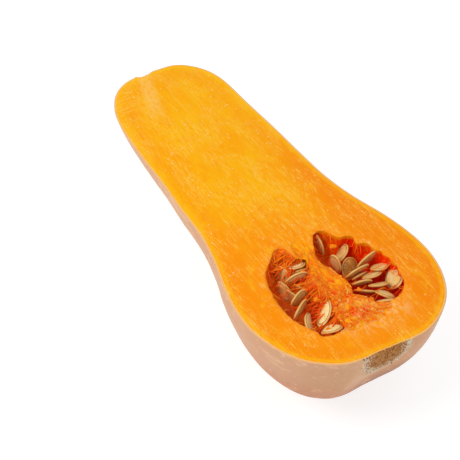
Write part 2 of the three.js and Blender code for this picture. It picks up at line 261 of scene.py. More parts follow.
back = back + np.array([-1.0, 0, -0.12]) * cork[..., None]
# dent the stem left at the neck end
stem_r = np.sqrt(((back[..., 1] - 5) / 9.5) ** 2 + ((back[..., 2] + 4) / 8.5) ** 2)
stem = np.where(back[..., 0] > 235, 1 - smooth(0.45, 1.05, stem_r + 0.12 * N2(back, (2.5, 2.5, 2.5))), 0)
back = back + np.array([-1.0, 0, 0.0]) * (stem * (1.5 + 0.7 * N3(back, (1.4, 1.4, 1.4))))[..., None]
bump_r = np.hypot((back[..., 1] - 8.5) / 2.2, (back[..., 2] + 0.5) / 2.5)
back = back + np.array([1.4, 0, 0.0]) * np.where(back[..., 0] > 235, np.exp(-bump_r**2), 0)[..., None]
back[0, :, 2] = -0.28
# the rind rests on the ground and does not pass through it
low_w = (back @ ROT.T + SHIFT)[..., 2]
back = back - np.minimum(low_w, 0)[..., None] * ROT[2]

# cut face: rows step in from the rim, then run to the spine
insets = [0.10, 0.28, 0.55, 0.9, 1.25, 1.6, 2.0, 2.6, 3.4, 4.5, 5.8, 7.2]
drop = [-0.10, -0.025, 0.0] + [0.0] * 20
rim_now = back[0, :, :2]
top = [np.concatenate([rim_now + nin * d, np.full((NR, 1), drop[k])], 1) for k, d in enumerate(insets)]
last = top[-1][:, :2]
target = np.stack([spine(rim[:, 0]), table(STATION_X, CENTRE_Y, spine(rim[:, 0]))], 1)
for s in (np.arange(1, 30) / 29.0) * 0.975:
    q = last + (target - last) * s
    top.append(np.concatenate([q, np.zeros((NR, 1))], 1))
top = np.array(top)


def zipper(ring, flip):
    n = len(ring)
    far, a = int(np.argmax(ring[:, 0])), int(np.argmin(ring[:, 0]))
    b = a
    out = []
    while a != far or b != far:
        na, nb = (a + 1) % n, (b - 1) % n
        step_a = a != far and (b == far or ring[na, 0] <= ring[nb, 0])
        if step_a:
            if len({a, b, na}) == 3:
                out.append((a, b, na))
            a = na
        else:
            if len({a, b, nb}) == 3:
                out.append((a, b, nb))
            b = nb
    out = np.array(out)
    return out[:, ::-1] if flip else out


def grid_quads(rows, n, start):
    i = np.arange(n)
    j = (i + 1) % n
    out = []
    for r in range(rows - 1):
        a, c = start + r * n, start + (r + 1) * n
        out.append(np.stack([a + i, c + i, c + j, a + j], 1))
    return np.concatenate(out)


# one stack of rings: cut face (innermost first) -> rim -> back (keel last)
stack = np.concatenate([top[::-1], back], 0)
ROWS = len(stack)
verts = stack.reshape(-1, 3)
quads = grid_quads(ROWS, NR, 0)
cap_top = zipper(stack[0], False)
cap_bot = zipper(stack[-1], False) + (ROWS - 1) * NR
# orientation: with the rim anticlockwise seen from above the cap on top must run anticlockwise too
if area < 0:
    quads = quads[:, ::-1]


def tri_up(v, f):
    a, b, c = v[f[:, 0]], v[f[:, 1]], v[f[:, 2]]
    return np.cross(b - a, c - a)[:, 2]


up = tri_up(verts, cap_top)
cap_top = cap_top[:, ::-1] if up.sum() < 0 else cap_top
up = tri_up(verts, cap_bot)
cap_bot = cap_bot[:, ::-1] if up.sum() > 0 else cap_bot
body = make_mesh("squash_half_body", verts, [quads, cap_top, cap_bot])

# ------------------------------------------------------------------ 2. the seed cavity, as a void field cut from the body
LOBE_L = closed_curve([[84.5, 13], [83.5, 18], [80, 22.5], [76, 27], [71, 31], [62, 34.6], [50, 36.3], [40, 36], [33, 33.2], [27, 29.5], [24, 24], [23.8, 18], [27, 14], [33, 12], [42, 10.5], [54, 8.8], [66, 8.6], [76, 8.6]], 4)
LOBE_R = closed_curve([[84.2, -10.6], [80.8, -6.2], [74.6, -2.2], [68.5, 0.2], [62, -1.2], [55, -3.6], [48, -4.2], [42, -4.6], [36, -6], [30, -9], [26, -13.5], [25.5, -19.5], [27.5, -25], [32.5, -30], [41, -32.5], [50, -32.3], [57, -30.5], [64, -26.5], [70, -22], [76.5, -17.5], [82.5, -14.5]], 4)
# a, b: ends of the long axis as they show in the plane of the cut; ha, hb their depths; roll turns the flat face from SIGHT
# tint blends a seed from cream to amber: partly its own colour under a film of pulp, partly painted shade on seeds
# that lie in shadow
SEEDS = {
    "seed_right_01": dict(a=(81.89, -8.98), b=(69.64, -3.13), ha=2.6, hb=12.5, roll=66, w=7.6, tint=0.45),
    "seed_right_02": dict(a=(59.7, -6.0), b=(68.8, -18.4), ha=10.37, hb=6.31, roll=-59.5, w=9.2, tint=0.25),
    "seed_right_03": dict(a=(54.16, -2.6), b=(65.24, -8.14), ha=13.98, hb=2.94, roll=55.6, w=8.6, tint=0.55),
    "seed_right_04": dict(a=(47.47, -3.1), b=(59.54, -15.76), ha=15.19, hb=8.47, roll=28.9, w=9.8, tint=0.95),
    "seed_right_05": dict(a=(52.57, -13.33), b=(56.32, -31.02), ha=7.47, hb=4.16, roll=74.6, w=9.2, tint=0.55),
    "seed_right_06": dict(a=(49.58, -4.11), b=(50.78, -20.13), ha=7.36, hb=5.88, roll=76.9, w=9.0, tint=0.6),
    "seed_right_07": dict(a=(47.4, -18.8), b=(46.3, -29.2), ha=4.88, hb=7.62, roll=-62, w=7.8, tint=0.1),
    "seed_right_08": dict(a=(44.6, -11.7), b=(43.9, -22.1), ha=5.66, hb=7.11, roll=-68, w=7.4, tint=0.3),
    "seed_right_09": dict(a=(44.38, -4.28), b=(40.72, -14.15), ha=5.22, hb=8.31, roll=76.2, w=8.8, tint=0.7),
    "seed_right_10": dict(a=(43.27, -28.51), b=(30.7, -23.85), ha=8.1, hb=5.44, roll=18.4, w=11.0, tint=0.12),
    "seed_right_11": dict(a=(38.73, -10.88), b=(35.89, -21.03), ha=4.04, hb=6.74, roll=-81.5, w=8.6, tint=0.45),
    "seed_right_12": dict(a=(40.4, -2.7), b=(32.7, -12.4), ha=5.07, hb=9.46, roll=79.4, w=8.4, tint=0.8),
    "seed_right_13": dict(a=(34.15, -11.8), b=(26.22, -18.41), ha=3.13, hb=7.94, roll=-68, w=7.4, tint=0.25),
    "seed_right_14": dict(a=(28.6, -6.95), b=(23.95, -18.15), ha=4.21, hb=3.28, roll=-92.9, w=7.2, tint=0.5),
    "seed_right_15": dict(a=(46.97, -6.63), b=(46.39, -15.11), ha=8.12, hb=12.9, roll=78.8, w=8.2, tint=0.65),
    "seed_left_01": dict(a=(70.8, 20.2), b=(69.2, 8.2), ha=4.59, hb=5.09, roll=-66.4, w=9.4, tint=0.0),
    "seed_left_02": dict(a=(72.08, 22.42), b=(61.85, 25.06), ha=4.84, hb=9.67, roll=35.4, w=8.8, tint=0.75),
    "seed_left_03": dict(a=(62.9, 25.42), b=(61.39, 11.23), ha=5.61, hb=4.2, roll=62.4, w=9.4, tint=0.35),
    "seed_left_04": dict(a=(65.2, 21.6), b=(64.2, 9.5), ha=8.63, hb=7.12, roll=75.1, w=8.0, tint=0.9),
    "seed_left_05": dict(a=(63.61, 27.78), b=(52.48, 30.27), ha=6.5, hb=12.5, roll=48.6, w=8.8, tint=0.55),
    "seed_left_06": dict(a=(57.56, 26.96), b=(46.68, 28.63), ha=4.98, hb=14.36, roll=54.7, w=8.6, tint=0.6),
    "seed_left_07": dict(a=(57.98, 21.52), b=(47.94, 20.42), ha=6.0, hb=10.5, roll=66, w=7.4, tint=0.75),
    "seed_left_08": dict(a=(49.1, 31.1), b=(51.5, 19.8), ha=4.11, hb=5.0, roll=57.4, w=9.2, tint=0.7),
    "seed_left_09": dict(a=(40.1, 35.8), b=(46.8, 22.5), ha=5.6, hb=6.5, roll=71.5, w=9.0, tint=0.75),
    "seed_left_10": dict(a=(39.8, 26.2), b=(30.8, 33.2), ha=9.5, hb=3.6, roll=-58, w=7.0, tint=0.12),
    "seed_left_11": dict(a=(42.3, 12.2), b=(29.3, 26.3), ha=3.05, hb=5.39, roll=-46, w=8.2, tint=0.03),
    "seed_left_12": dict(a=(26.0, 28.7), b=(25.0, 16.4), ha=3.04, hb=3.57, roll=-56, w=7.2, tint=0.0),
}
SEED_THICK = 1.9
PROFILE_T = np.array([-0.5, -0.485, -0.45, -0.40, -0.30, -0.18, -0.05, 0.08, 0.20, 0.32, 0.41, 0.47, 0.495, 0.5])
PROFILE_H = np.array([0.0, 0.16, 0.27, 0.40, 0.64, 0.85, 0.965, 1.0, 0.96, 0.83, 0.64, 0.42, 0.20, 0.0])


def seed_frame(s):
    def end(xy, h):
        p = np.array([xy[0], xy[1], 0.0])
        away = p - SIGHT
        return p + away * (h / -away[2])
    A, B = end(s["a"], s["ha"]), end(s["b"], s["hb"])
    lng = B - A
    length = np.linalg.norm(lng)
    lng /= length
    mid = (A + B) / 2
    view = SIGHT - mid
    view /= np.linalg.norm(view)
    face = view - lng * view.dot(lng)
    face /= np.linalg.norm(face)
    sidev = np.cross(lng, face)
    r = math.radians(s["roll"])
    s1 = 1 if sidev[2] > 0 else -1
    normal = face * math.cos(r) - sidev * s1 * math.sin(r)
    return mid, lng, normal, np.cross(normal, lng), max(length, 12.5)


# pockets the seeds grew in, along the outer walls: x, y, depth of the middle, radius along, across, down
POCKETS = [
    (73.0, -12.5, 5.0, 4.2, 6.8, 8.0), (70.6, -20.2, 4.2, 4.1, 5.6, 8.5), (62.0, -23.5, 4.4, 4.3, 6.6, 9.5), (55.0, -27.6, 4.8, 3.0, 5.2, 9.0),
    (49.3, -27.8, 5.0, 3.6, 5.9, 10.0), (43.2, -28.6, 5.5, 3.2, 5.6, 9.0), (36.5, -26.2, 6.0, 4.2, 6.4, 8.0), (29.0, -20.6, 4.4, 3.3, 5.0, 7.0),
    (68.5, 26.0, 6.0, 4.2, 5.4, 8.5), (60.6, 30.2, 5.5, 3.4, 5.0, 8.5), (54.2, 31.4, 5.5, 3.2, 5.2, 9.0), (47.6, 32.0, 6.0, 3.3, 5.0, 9.0),
    (40.4, 31.6, 6.0, 3.6, 5.0, 8.5), (33.2, 28.4, 5.0, 3.4, 5.0, 7.0),
]
OPEN_SEEDS = {"seed_right_01": 12.0, "seed_left_01": 7.5, "seed_left_02": 11.0, "seed_left_04": 9.0, "seed_left_05": 12.0, "seed_left_06": 11.5, "seed_left_07": 10.0, "seed_left_03": 9.0, "seed_left_11": 8.0, "seed_left_12": 7.0, "seed_right_12": 8.0, "seed_right_02": 12.0, "seed_right_03": 12.0}
H = 0.62
GX, GY, GZ = np.arange(14, 94.01, H), np.arange(-42, 43.01, H), np.arange(-34, 3.7, H)


def smin(a, b, k):
    h = np.clip(0.5 + 0.5 * (b - a) / k, 0, 1)
    return b * (1 - h) + a * h - k * h * (1 - h)


def ridge(n):
    return 1 - np.abs(n) * 2


def web_mask(x, y):
    """1 over the fibrous web between the lobes and around their blossom end."""
    cy = 2.5 + 0.02 * (x - 50)
    half = np.interp(x, [16, 24, 34, 48, 62, 74, 86], [13, 19, 15, 10.5, 8.5, 7.0, 4.0])
    m = 1 - smooth(0.55, 1.15, np.abs(y - cy) / half)
    return m * smooth(14, 27, x) * (1 - smooth(78, 88, x))


def build_field():
    X, Y = np.meshgrid(GX, GY, indexing="ij")
    F = np.empty((len(GX), len(GY), len(GZ)), np.float32)
    wm = web_mask(X, Y)
    for k, z in enumerate(GZ):
        down = -z
        P = np.stack([X, Y, np.full_like(X, z)], -1)
        lean_x, lean_y = 0.10 * max(down, 0), -0.03 * max(down, 0)
        n_lo, n_mid, n_hi = N1(P, (8, 8, 8)), N2(P, (3.2, 3.2, 3.2)), N3(P, (1.5, 1.5, 1.5))
        # strings on the walls run across (y) and down
        string = ridge(N2(P, (1.5, 7.0, 4.0)))
        f = None
        for poly, deep, wide in ((LOBE_L, 17.0, 11.0), (LOBE_R, 19.5, 11.5)):
            d2 = poly_distance(X - lean_x, Y - lean_y, poly)
            t = np.clip((wide + d2) / wide, 0, 3)  # 0 at the middle, 1 at the rim
            g = t**2.5 + (max(down, 0) / deep) ** 2.5 - 1
            g = g * wide / 2.5
            if poly is LOBE_L:
                # the web slopes down into this lobe, and so does its neck end
                edge = np.interp(X, [20, 33, 42, 54, 66, 76, 86], [15, 12.0, 10.6, 9.2, 9.0, 9.6, 11])
                slope = 0.55 + 0.5 * smooth(44, 62, X)
                bank = (edge + slope * max(down, 0) - Y) / np.sqrt(1 + slope**2)
                g = -smin(-g, -bank, 2.2)
                head = (X - (86.0 - 1.5 * max(down, 0))) / 1.8
                g = -smin(-g, -head, 2.0)
            f = g if f is None else np.minimum(f, g)
        f = f + 0.45 * n_lo + 0.30 * n_mid + 0.30 * (string - 0.45) * (0.55 + 0.65 * wm)
        for (cx, cy, cz, rx, ry, rz) in POCKETS:
            sgn = 1.0 if cy > 0 else -1.0
            e = np.sqrt(((X - cx) / rx) ** 2 + ((Y - cy) / ry) ** 2 + ((z + cz) / rz) ** 2)
            f = smin(f, (e - 1) * min(rx, ry), 0.55)
        # the web: a rough fibrous surface just under the cut
        fib_a = ridge(N1(P, (7.5, 1.25, 3.0)))  # strings along the squash
        fan = np.stack([X * 0.62 - np.abs(Y - 2) * 0.78, X * 0.78 + np.abs(Y - 2) * 0.62, P[..., 2]], -1)
        fib_b = ridge(N3(fan, (6.0, 1.2, 3.0)))  # strings fanning out toward the lobes
        m_up = smooth(50, 62, X)
        fib = m_up * fib_a + (1 - m_up) * np.maximum(fib_b, 0.6 * fib_a)
        low = smooth(58, 40, X)
        sunk = wm * (0.40 + (0.8 + 0.5 * low) * (1 - np.clip(fib, 0, 1)) + (0.4 + 0.4 * low) * n_lo + 0.40 * n_hi)
        red_pits = np.clip(N2(P, (4.5, 3.0, 4.0)) - 0.25, 0, 1) * 3.2 * wm * low * smooth(20, 32, X)
        web = down - (sunk + red_pits) + (1 - np.clip(wm * 3, 0, 1)) * 1.2
        if z > 0:
            web = np.minimum(web, -0.0 + (1 - np.clip(wm * 3, 0, 1)) * 1.2 - 0.4 * np.clip(wm * 3, 0, 1) * 1.0)
        f = smin(f, web * 0.8, 0.6)
        F[:, :, k] = f
    # the pulp lies open above these seeds, along the line they are seen from
    X3, Y3, Z3 = np.meshgrid(GX, GY, GZ, indexing="ij")
    for name, floor_mm in OPEN_SEEDS.items():
        mid, lng, nrm, acr, length = seed_frame(SEEDS[name])
        hw = SEEDS[name]["w"] / 2
        view = (SIGHT - mid) / np.linalg.norm(SIGHT - mid)
        lo, hi = mid - length * 0.75, mid + length * 0.75
        hi = np.maximum(hi, mid + view * (-mid[2] / view[2]) + length * 0.6)
        lo = np.minimum(lo, mid + view * (-mid[2] / view[2]) - length * 0.6)
        sl = tuple(slice(max(int((lo[q] - ax[0]) / H), 0), max(int((hi[q] - ax[0]) / H) + 2, 1)) for q, ax in enumerate((GX, GY, GZ)))
        P = np.stack([X3[sl], Y3[sl], Z3[sl]], -1) - mid
        best = np.full(P.shape[:3], 9.0)
        for t in np.arange(0, 15, 1.3):
            Q = P - view * t
            dl = np.hypot(Q @ lng / (length / 2 + 0.5), Q @ acr / (hw + 0.4)) - 1
            best = np.minimum(best, np.maximum(np.abs(Q @ nrm) - 1.5, dl * hw))
        best = np.maximum(best, (-floor_mm - Z3[sl]) * 0.8)
        F[sl] = smin(F[sl], best + 0.12 * N2(P, (2.5, 2.5, 2.5)), 0.7)
    # the outside of the block is solid, its lid is open
    F[0], F[-1], F[:, 0], F[:, -1], F[:, :, 0] = 1, 1, 1, 1, 1
    F[:, :, -1] = np.maximum(F[:, :, -1], 0.5)
    return F


def despeckle(F):
    """Makes every 2 x 2 face of grid corners unambiguous, so that the surface has no edge shared by four faces."""
    for _ in range(12):
        s = F < 0
        changed = 0
        for ax in range(3):
            o = [a for a in range(3) if a != ax]
            sl = lambda da, db: tuple(slice(da, None if da else -1) if a == o[0] else (slice(db, None if db else -1) if a == o[1] else slice(None)) for a in range(3))
            a, b, c, d = s[sl(0, 0)], s[sl(1, 1)], s[sl(0, 1)], s[sl(1, 0)]
            bad1 = a & b & ~c & ~d
            bad2 = ~a & ~b & c & d
            for bad, tgt in ((bad1, sl(0, 1)), (bad2, sl(0, 0))):
                if bad.any():
                    v = F[tgt]
                    v[bad] = -0.05
                    F[tgt] = v
                    changed += int(bad.sum())
                    s = F < 0
        if not changed:
            break
    return F


def largest_part(F):
    """Keeps only the void that reaches the widest, and fills lone bubbles."""
    s = F < 0
    lab = np.zeros(s.shape, bool)
    seed = np.unravel_index(np.argmin(F), F.shape)
    lab[seed] = True
    while True:
        g = lab.copy()
        g[1:] |= lab[:-1]; g[:-1] |= lab[1:]
        g[:, 1:] |= lab[:, :-1]; g[:, :-1] |= lab[:, 1:]
        g[:, :, 1:] |= lab[:, :, :-1]; g[:, :, :-1] |= lab[:, :, 1:]
        g &= s
        if g.sum() == lab.sum():
            break
        lab = g
    F = np.where(s & ~lab, 0.05, F)
    return F


def surface_nets(F, xs, ys, zs):
    s = F < 0
    nx, ny, nz = F.shape
    c = np.zeros((nx - 1, ny - 1, nz - 1), np.int8)
    for dx in (0, 1):
        for dy in (0, 1):
            for dz in (0, 1):
                c += s[dx:nx - 1 + dx, dy:ny - 1 + dy, dz:nz - 1 + dz]
    act = np.argwhere((c > 0) & (c < 8))
    idx = -np.ones(c.shape, np.int64)
    idx[tuple(act.T)] = np.arange(len(act))
    acc, cnt = np.zeros((len(act), 3)), np.zeros(len(act))
    corners = [(0, 0, 0), (1, 0, 0), (0, 1, 0), (1, 1, 0), (0, 0, 1), (1, 0, 1), (0, 1, 1), (1, 1, 1)]
    val = [F[act[:, 0] + a, act[:, 1] + b, act[:, 2] + d] for a, b, d in corners]
    for i in range(8):
        for j in range(i + 1, 8):
            if sum(abs(corners[i][k] - corners[j][k]) for k in range(3)) != 1:
                continue
            a, b = val[i], val[j]
            m = (a < 0) != (b < 0)
            t = np.where(m, a / np.where(m, a - b, 1), 0)
            p = np.array(corners[i]) + t[:, None] * (np.array(corners[j]) - np.array(corners[i]))
            acc[m] += p[m]
            cnt[m] += 1
    pos = act + acc / cnt[:, None]
    h = xs[1] - xs[0]
    verts = np.stack([xs[0] + pos[:, 0] * h, ys[0] + pos[:, 1] * h, zs[0] + pos[:, 2] * h], 1)
    quads = []
    for ax in range(3):
        o1, o2 = (ax + 1) % 3, (ax + 2) % 3
        lo = [slice(1, -1)] * 3
        lo[ax] = slice(0, -1)
        hi = [slice(1, -1)] * 3
        hi[ax] = slice(1, None)
        A, B = s[tuple(lo)], s[tuple(hi)]
        e = np.argwhere(A != B)
        if not len(e):
            continue
        inside_first = A[tuple(e.T)]
        base = e.copy()
        for k in range(3):
            if k != ax:
                base[:, k] += 1
        def cell(d1, d2):
            q = base.copy()
            q[:, o1] -= d1
            q[:, o2] -= d2
            return idx[tuple(q.T)]
        q = np.stack([cell(1, 1), cell(0, 1), cell(0, 0), cell(1, 0)], 1)
        q[~inside_first] = q[~inside_first][:, ::-1]
        quads.append(q)
    return verts, np.concatenate(quads)


F = largest_part(despeckle(build_field()))
F = despeckle(F)
cv, cq = surface_nets(F, GX, GY, GZ)
print("cavity verts", len(cv), "quads", len(cq))
tool = make_mesh("cavity_tool", cv, [cq])


def manifold_difference(ob, cutter):
    m = ob.modifiers.new("cut", "BOOLEAN")
    m.operation, m.solver, m.object = "DIFFERENCE", "MANIFOLD", cutter
    dg = bpy.context.evaluated_depsgraph_get()
    me = bpy.data.meshes.new_from_object(ob.evaluated_get(dg))
    ob.modifiers.clear()
    old = ob.data
    ob.data = me
    bpy.data.meshes.remove(old)
    bpy.data.objects.remove(cutter)


n0 = len(body.data.polygons)
manifold_difference(body, tool)
print("after cut", len(body.data.vertices), len(body.data.polygons))


# ------------------------------------------------------------------ 3. vertex fields the materials read
def sample_field(p):
    q = np.stack([(p[:, 0] - GX[0]) / H, (p[:, 1] - GY[0]) / H, (p[:, 2] - GZ[0]) / H], 1)
    ok = (q >= 0).all(1) & (q[:, 0] < len(GX) - 1.01) & (q[:, 1] < len(GY) - 1.01) & (q[:, 2] < len(GZ) - 1.01)
    q = np.clip(q, 0, [len(GX) - 1.01, len(GY) - 1.01, len(GZ) - 1.01])
    i = q.astype(int)
    f = q - i
    out = np.zeros(len(p))
    for dx in (0, 1):
        for dy in (0, 1):
            for dz in (0, 1):
                wgt = np.abs(1 - dx - f[:, 0]) * np.abs(1 - dy - f[:, 1]) * np.abs(1 - dz - f[:, 2])
                out += wgt * F[i[:, 0] + dx, i[:, 1] + dy, i[:, 2] + dz]
    return np.where(ok, out, 9.0)


loc = to_cut(coords(body.data))
fval = sample_field(loc)
on_top = loc[:, 2] > -0.32
cavity = (np.abs(fval) < 0.45) & (loc[:, 2] < -0.03)
rim_d = np.full(len(loc), 1e9)
for a in range(0, len(loc), 4000):
    rim_d[a:a + 4000] = np.sqrt(((loc[a:a + 4000, None, :2] - rim_now[None]) ** 2).sum(-1)).min(1)
sd = np.where(cavity, 30.0, np.where(on_top, np.minimum(rim_d, 30), np.minimum(loc[:, 2], -0.3)))
sd = np.where(on_top & (loc[:, 2] < -0.2) & (rim_d < 0.05), 0.0, sd)
lob = np.minimum(poly_distance(loc[:, 0], loc[:, 1], LOBE_L), poly_distance(loc[:, 0], loc[:, 1], LOBE_R))
cavd = np.where(cavity, np.clip(-loc[:, 2], 0, 40), 0.0)
scar_a, scar_r = scar_field(loc)
scar_a = np.where(on_top & (rim_d > 0.9), 0, scar_a)
st = np.sqrt(((loc[:, 1] - 5) / 9.5) ** 2 + ((loc[:, 2] + 4) / 8.5) ** 2)
stem_a = np.where((loc[:, 0] > 235) & ((rim_d < 1.2) | ~on_top), 1 - smooth(0.6, 1.1, st), 0)
set_attr(body.data, "loc", loc)
set_attr(body.data, "sd", sd)
set_attr(body.data, "lob", np.clip(lob, -10, 40))
set_attr(body.data, "cavd", cavd)
set_attr(body.data, "web", web_mask(loc[:, 0], loc[:, 1]))
set_attr(body.data, "scar", scar_a)
set_attr(body.data, "scarr", np.where(loc[:, 0] < 25, np.clip(scar_r, 0, 2), 2.0))
set_attr(body.data, "stem", stem_a)


# ------------------------------------------------------------------ node helpers
def lin(r, g, b):
    return tuple((c / 255 / 12.92) if c <= 10 else ((c / 255 + 0.055) / 1.055) ** 2.4 for c in (r, g, b)) + (1.0,)


class Graph:
    def __init__(self, name):
        self.mat = bpy.data.materials.new(name)
        self.mat.use_nodes = True
        self.nt = self.mat.node_tree
        self.nt.nodes.clear()
        self.out = self.nt.nodes.new("ShaderNodeOutputMaterial")
        self.bsdf = self.nt.nodes.new("ShaderNodeBsdfPrincipled")
        self.nt.links.new(self.bsdf.outputs[0], self.out.inputs[0])

    def put(self, sock, v):
        if isinstance(v, bpy.types.NodeSocket):
            self.nt.links.new(v, sock)
        else:
            sock.default_value = v

    def attr(self, name, vec=False):
        n = self.nt.nodes.new("ShaderNodeAttribute")
        n.attribute_name = name
        return n.outputs["Vector"] if vec else n.outputs["Fac"]

    def math(self, op, a, b=None, c=None, clamp=False):
        n = self.nt.nodes.new("ShaderNodeMath")
        n.operation = op
        n.use_clamp = clamp
        for s, v in zip(n.inputs, (a, b, c)):
            if v is not None:
                self.put(s, v)
        return n.outputs[0]

    def scaled(self, vec, s):
        n = self.nt.nodes.new("ShaderNodeVectorMath")
        n.operation = "MULTIPLY"
        self.put(n.inputs[0], vec)
        n.inputs[1].default_value = s
        return n.outputs[0]

    def noise(self, vec, scale=1.0, detail=2.0, rough=0.5, dist=0.0):
        n = self.nt.nodes.new("ShaderNodeTexNoise")
        self.put(n.inputs["Vector"], vec)
        n.inputs["Scale"].default_value = scale
        n.inputs["Detail"].default_value = detail
        n.inputs["Roughness"].default_value = rough
        n.inputs["Distortion"].default_value = dist
        return n.outputs["Fac"]

    def voronoi(self, vec, scale=1.0, feature="F1", rand=1.0):
        n = self.nt.nodes.new("ShaderNodeTexVoronoi")
        n.feature = feature
        self.put(n.inputs["Vector"], vec)
        n.inputs["Scale"].default_value = scale
        n.inputs["Randomness"].default_value = rand
        return n.outputs["Distance"]

    def step(self, v, a, b, lo=0.0, hi=1.0):
        n = self.nt.nodes.new("ShaderNodeMapRange")
        n.interpolation_type = "SMOOTHSTEP"
        self.put(n.inputs["Value"], v)
        n.inputs["From Min"].default_value = a
        n.inputs["From Max"].default_value = b
        n.inputs["To Min"].default_value = lo
        n.inputs["To Max"].default_value = hi
        return n.outputs[0]

    def mix(self, fac, a, b, mode="MIX"):
        n = self.nt.nodes.new("ShaderNodeMix")
        n.data_type = "RGBA"
        n.blend_type = mode
        self.put(n.inputs["Factor"], fac)
        self.put(n.inputs[6], a)
        self.put(n.inputs[7], b)
        return n.outputs[2]

    def mul(self, a, b):
        return self.math("MULTIPLY", a, b)

    def bump(self, height, strength, distance, normal=None):
        n = self.nt.nodes.new("ShaderNodeBump")
        n.inputs["Strength"].default_value = strength
        n.inputs["Distance"].default_value = distance
        self.put(n.inputs["Height"], height)
        if normal is not None:
            self.put(n.inputs["Normal"], normal)
        return n.outputs[0]

    def set(self, **kw):
        for k, v in kw.items():
            self.put(self.bsdf.inputs[k.replace("_", " ")], v)


# ------------------------------------------------------------------ 4. flesh and rind
g = Graph("squash_flesh_and_rind")
L = g.attr("loc", True)
SD, CAV, LOBD, WEB, SCAR, SCARR, STEM = (g.attr(n) for n in ("sd", "cavd", "lob", "web", "scar", "scarr", "stem"))
sep = g.nt.nodes.new("ShaderNodeSeparateXYZ")
g.put(sep.inputs[0], L)
LX, LY = sep.outputs[0], sep.outputs[1]

# cut flesh
LZ = sep.outputs[2]
broad = g.noise(g.scaled(L, (0.028, 0.045, 0.05)), 1, 3, 0.5, 0.4)
flesh = g.mix(g.step(broad, 0.36, 0.66), lin(255, 169, 0), lin(255, 183, 6))
bulb = g.mul(g.step(LX, 138, 78), 0.75)
flesh = g.mix(bulb, flesh, lin(255, 136, 0))
flank = g.mul(g.step(LY, -14, -38), g.step(LX, 185, 120))
flesh = g.mix(g.mul(flank, 0.85), flesh, lin(249, 133, 0))
mottle = g.noise(g.scaled(L, (0.10, 0.16, 0.16)), 1, 4, 0.6, 0.6)
flesh = g.mix(g.mul(g.step(mottle, 0.50, 0.30), 0.32), flesh, lin(252, 144, 0))
flesh = g.mix(g.mul(g.step(mottle, 0.52, 0.72), 0.45), flesh, lin(255, 186, 16))
fibre = g.noise(g.scaled(L, (0.030, 0.50, 0.4)), 1, 5, 0.66, 0.8)
flesh = g.mix(g.mul(g.step(fibre, 0.53, 0.70), 0.60), flesh, lin(255, 194, 62))
fine = g.noise(g.scaled(L, (0.16, 1.5, 1.2)), 1, 3, 0.6, 0.3)
flesh = g.mix(g.mul(g.step(fine, 0.44, 0.30), 0.55), flesh, lin(250, 136, 0))
clump = g.step(g.noise(g.scaled(L, (0.045, 0.09, 0.09)), 1, 3, 0.6, 0.8), 0.42, 0.58)
flesh = g.mix(g.mul(g.mul(g.step(fine, 0.53, 0.64), clump), 0.75), flesh, lin(255, 198, 78))
fleck = g.noise(g.scaled(L, (0.55, 1.1, 1.0)), 1, 3, 0.7, 0.4)
flesh = g.mix(g.mul(g.mul(g.step(fleck, 0.56, 0.66), clump), 0.60), flesh, lin(255, 204, 96))
grain = g.noise(g.scaled(L, (1.6, 1.6, 1.6)), 1, 3, 0.7)
flesh = g.mix(g.mul(g.step(grain, 0.56, 0.72), 0.38), flesh, lin(255, 196, 74))
flesh = g.mix(g.mul(g.step(grain, 0.44, 0.32), 0.35), flesh, lin(250, 140, 0))
# a little deeper orange inside the rind, broken up
band = g.mul(g.mul(g.step(SD, 3, 8), g.step(SD, 20, 10)), g.step(broad, 0.36, 0.60))
flesh = g.mix(g.mul(band, 0.28), flesh, lin(252, 138, 0))
flesh = g.mix(g.mul(g.mul(g.step(SD, 1.4, 1.9), g.step(SD, 4.6, 2.2)), 0.55), flesh, lin(255, 190, 14))
# pale fibres of the stalk end, in a V
v_at = g.math("ABSOLUTE", g.math("SUBTRACT", LY, g.math("ADD", g.mul(g.math("SUBTRACT", 248.0, LX), 0.30), 4.0)))
v_n = g.noise(g.scaled(L, (0.35, 0.60, 0.4)), 1, 4, 0.65, 0.6)
v1 = g.mul(g.mul(g.step(v_at, 6.5, 2.0), g.step(LX, 202, 222)), g.step(v_n, 0.36, 0.54))
v2_at = g.math("ABSOLUTE", g.math("SUBTRACT", LY, g.math("SUBTRACT", 2.0, g.mul(g.math("SUBTRACT", 248.0, LX), 0.55))))
v2 = g.mul(g.mul(g.step(v2_at, 4.5, 1.0), g.step(LX, 222, 240)), g.step(v_n, 0.46, 0.62))
flesh = g.mix(g.mul(v1, 0.62), flesh, lin(255, 198, 100))
flesh = g.mix(g.mul(v2, 0.35), flesh, lin(255, 198, 100))
rays = g.noise(g.scaled(L, (0.9, 0.12, 0.3)), 1, 3, 0.6, 0.5)
flesh = g.mix(g.mul(g.mul(g.mul(g.step(rays, 0.52, 0.66), g.step(LY, 14, 24)), g.step(LX, 205, 225)), 0.7), flesh, lin(255, 200, 92))
# pale fibrous bed at the blossom end of the cavity
bed = g.mul(g.mul(g.step(LX, 8, 20), g.step(LX, 42, 28)), g.step(g.math("ABSOLUTE", g.math("SUBTRACT", LY, -3.0)), 26, 9))
bedn = g.step(g.noise(g.scaled(L, (0.20, 0.32, 0.3)), 1, 4, 0.68, 1.4), 0.46, 0.62)
flesh = g.mix(g.mul(g.mul(bed, bedn), 0.85), flesh, lin(255, 190, 118))
# a pale loose halo round the cavity
halo_c = g.mul(g.step(LOBD, 7.5, 1.0), g.step(g.noise(g.scaled(L, (0.35, 0.35, 0.35)), 1, 4, 0.7, 1.0), 0.50, 0.66))
flesh = g.mix(g.mul(halo_c, 0.7), flesh, lin(255, 186, 96))
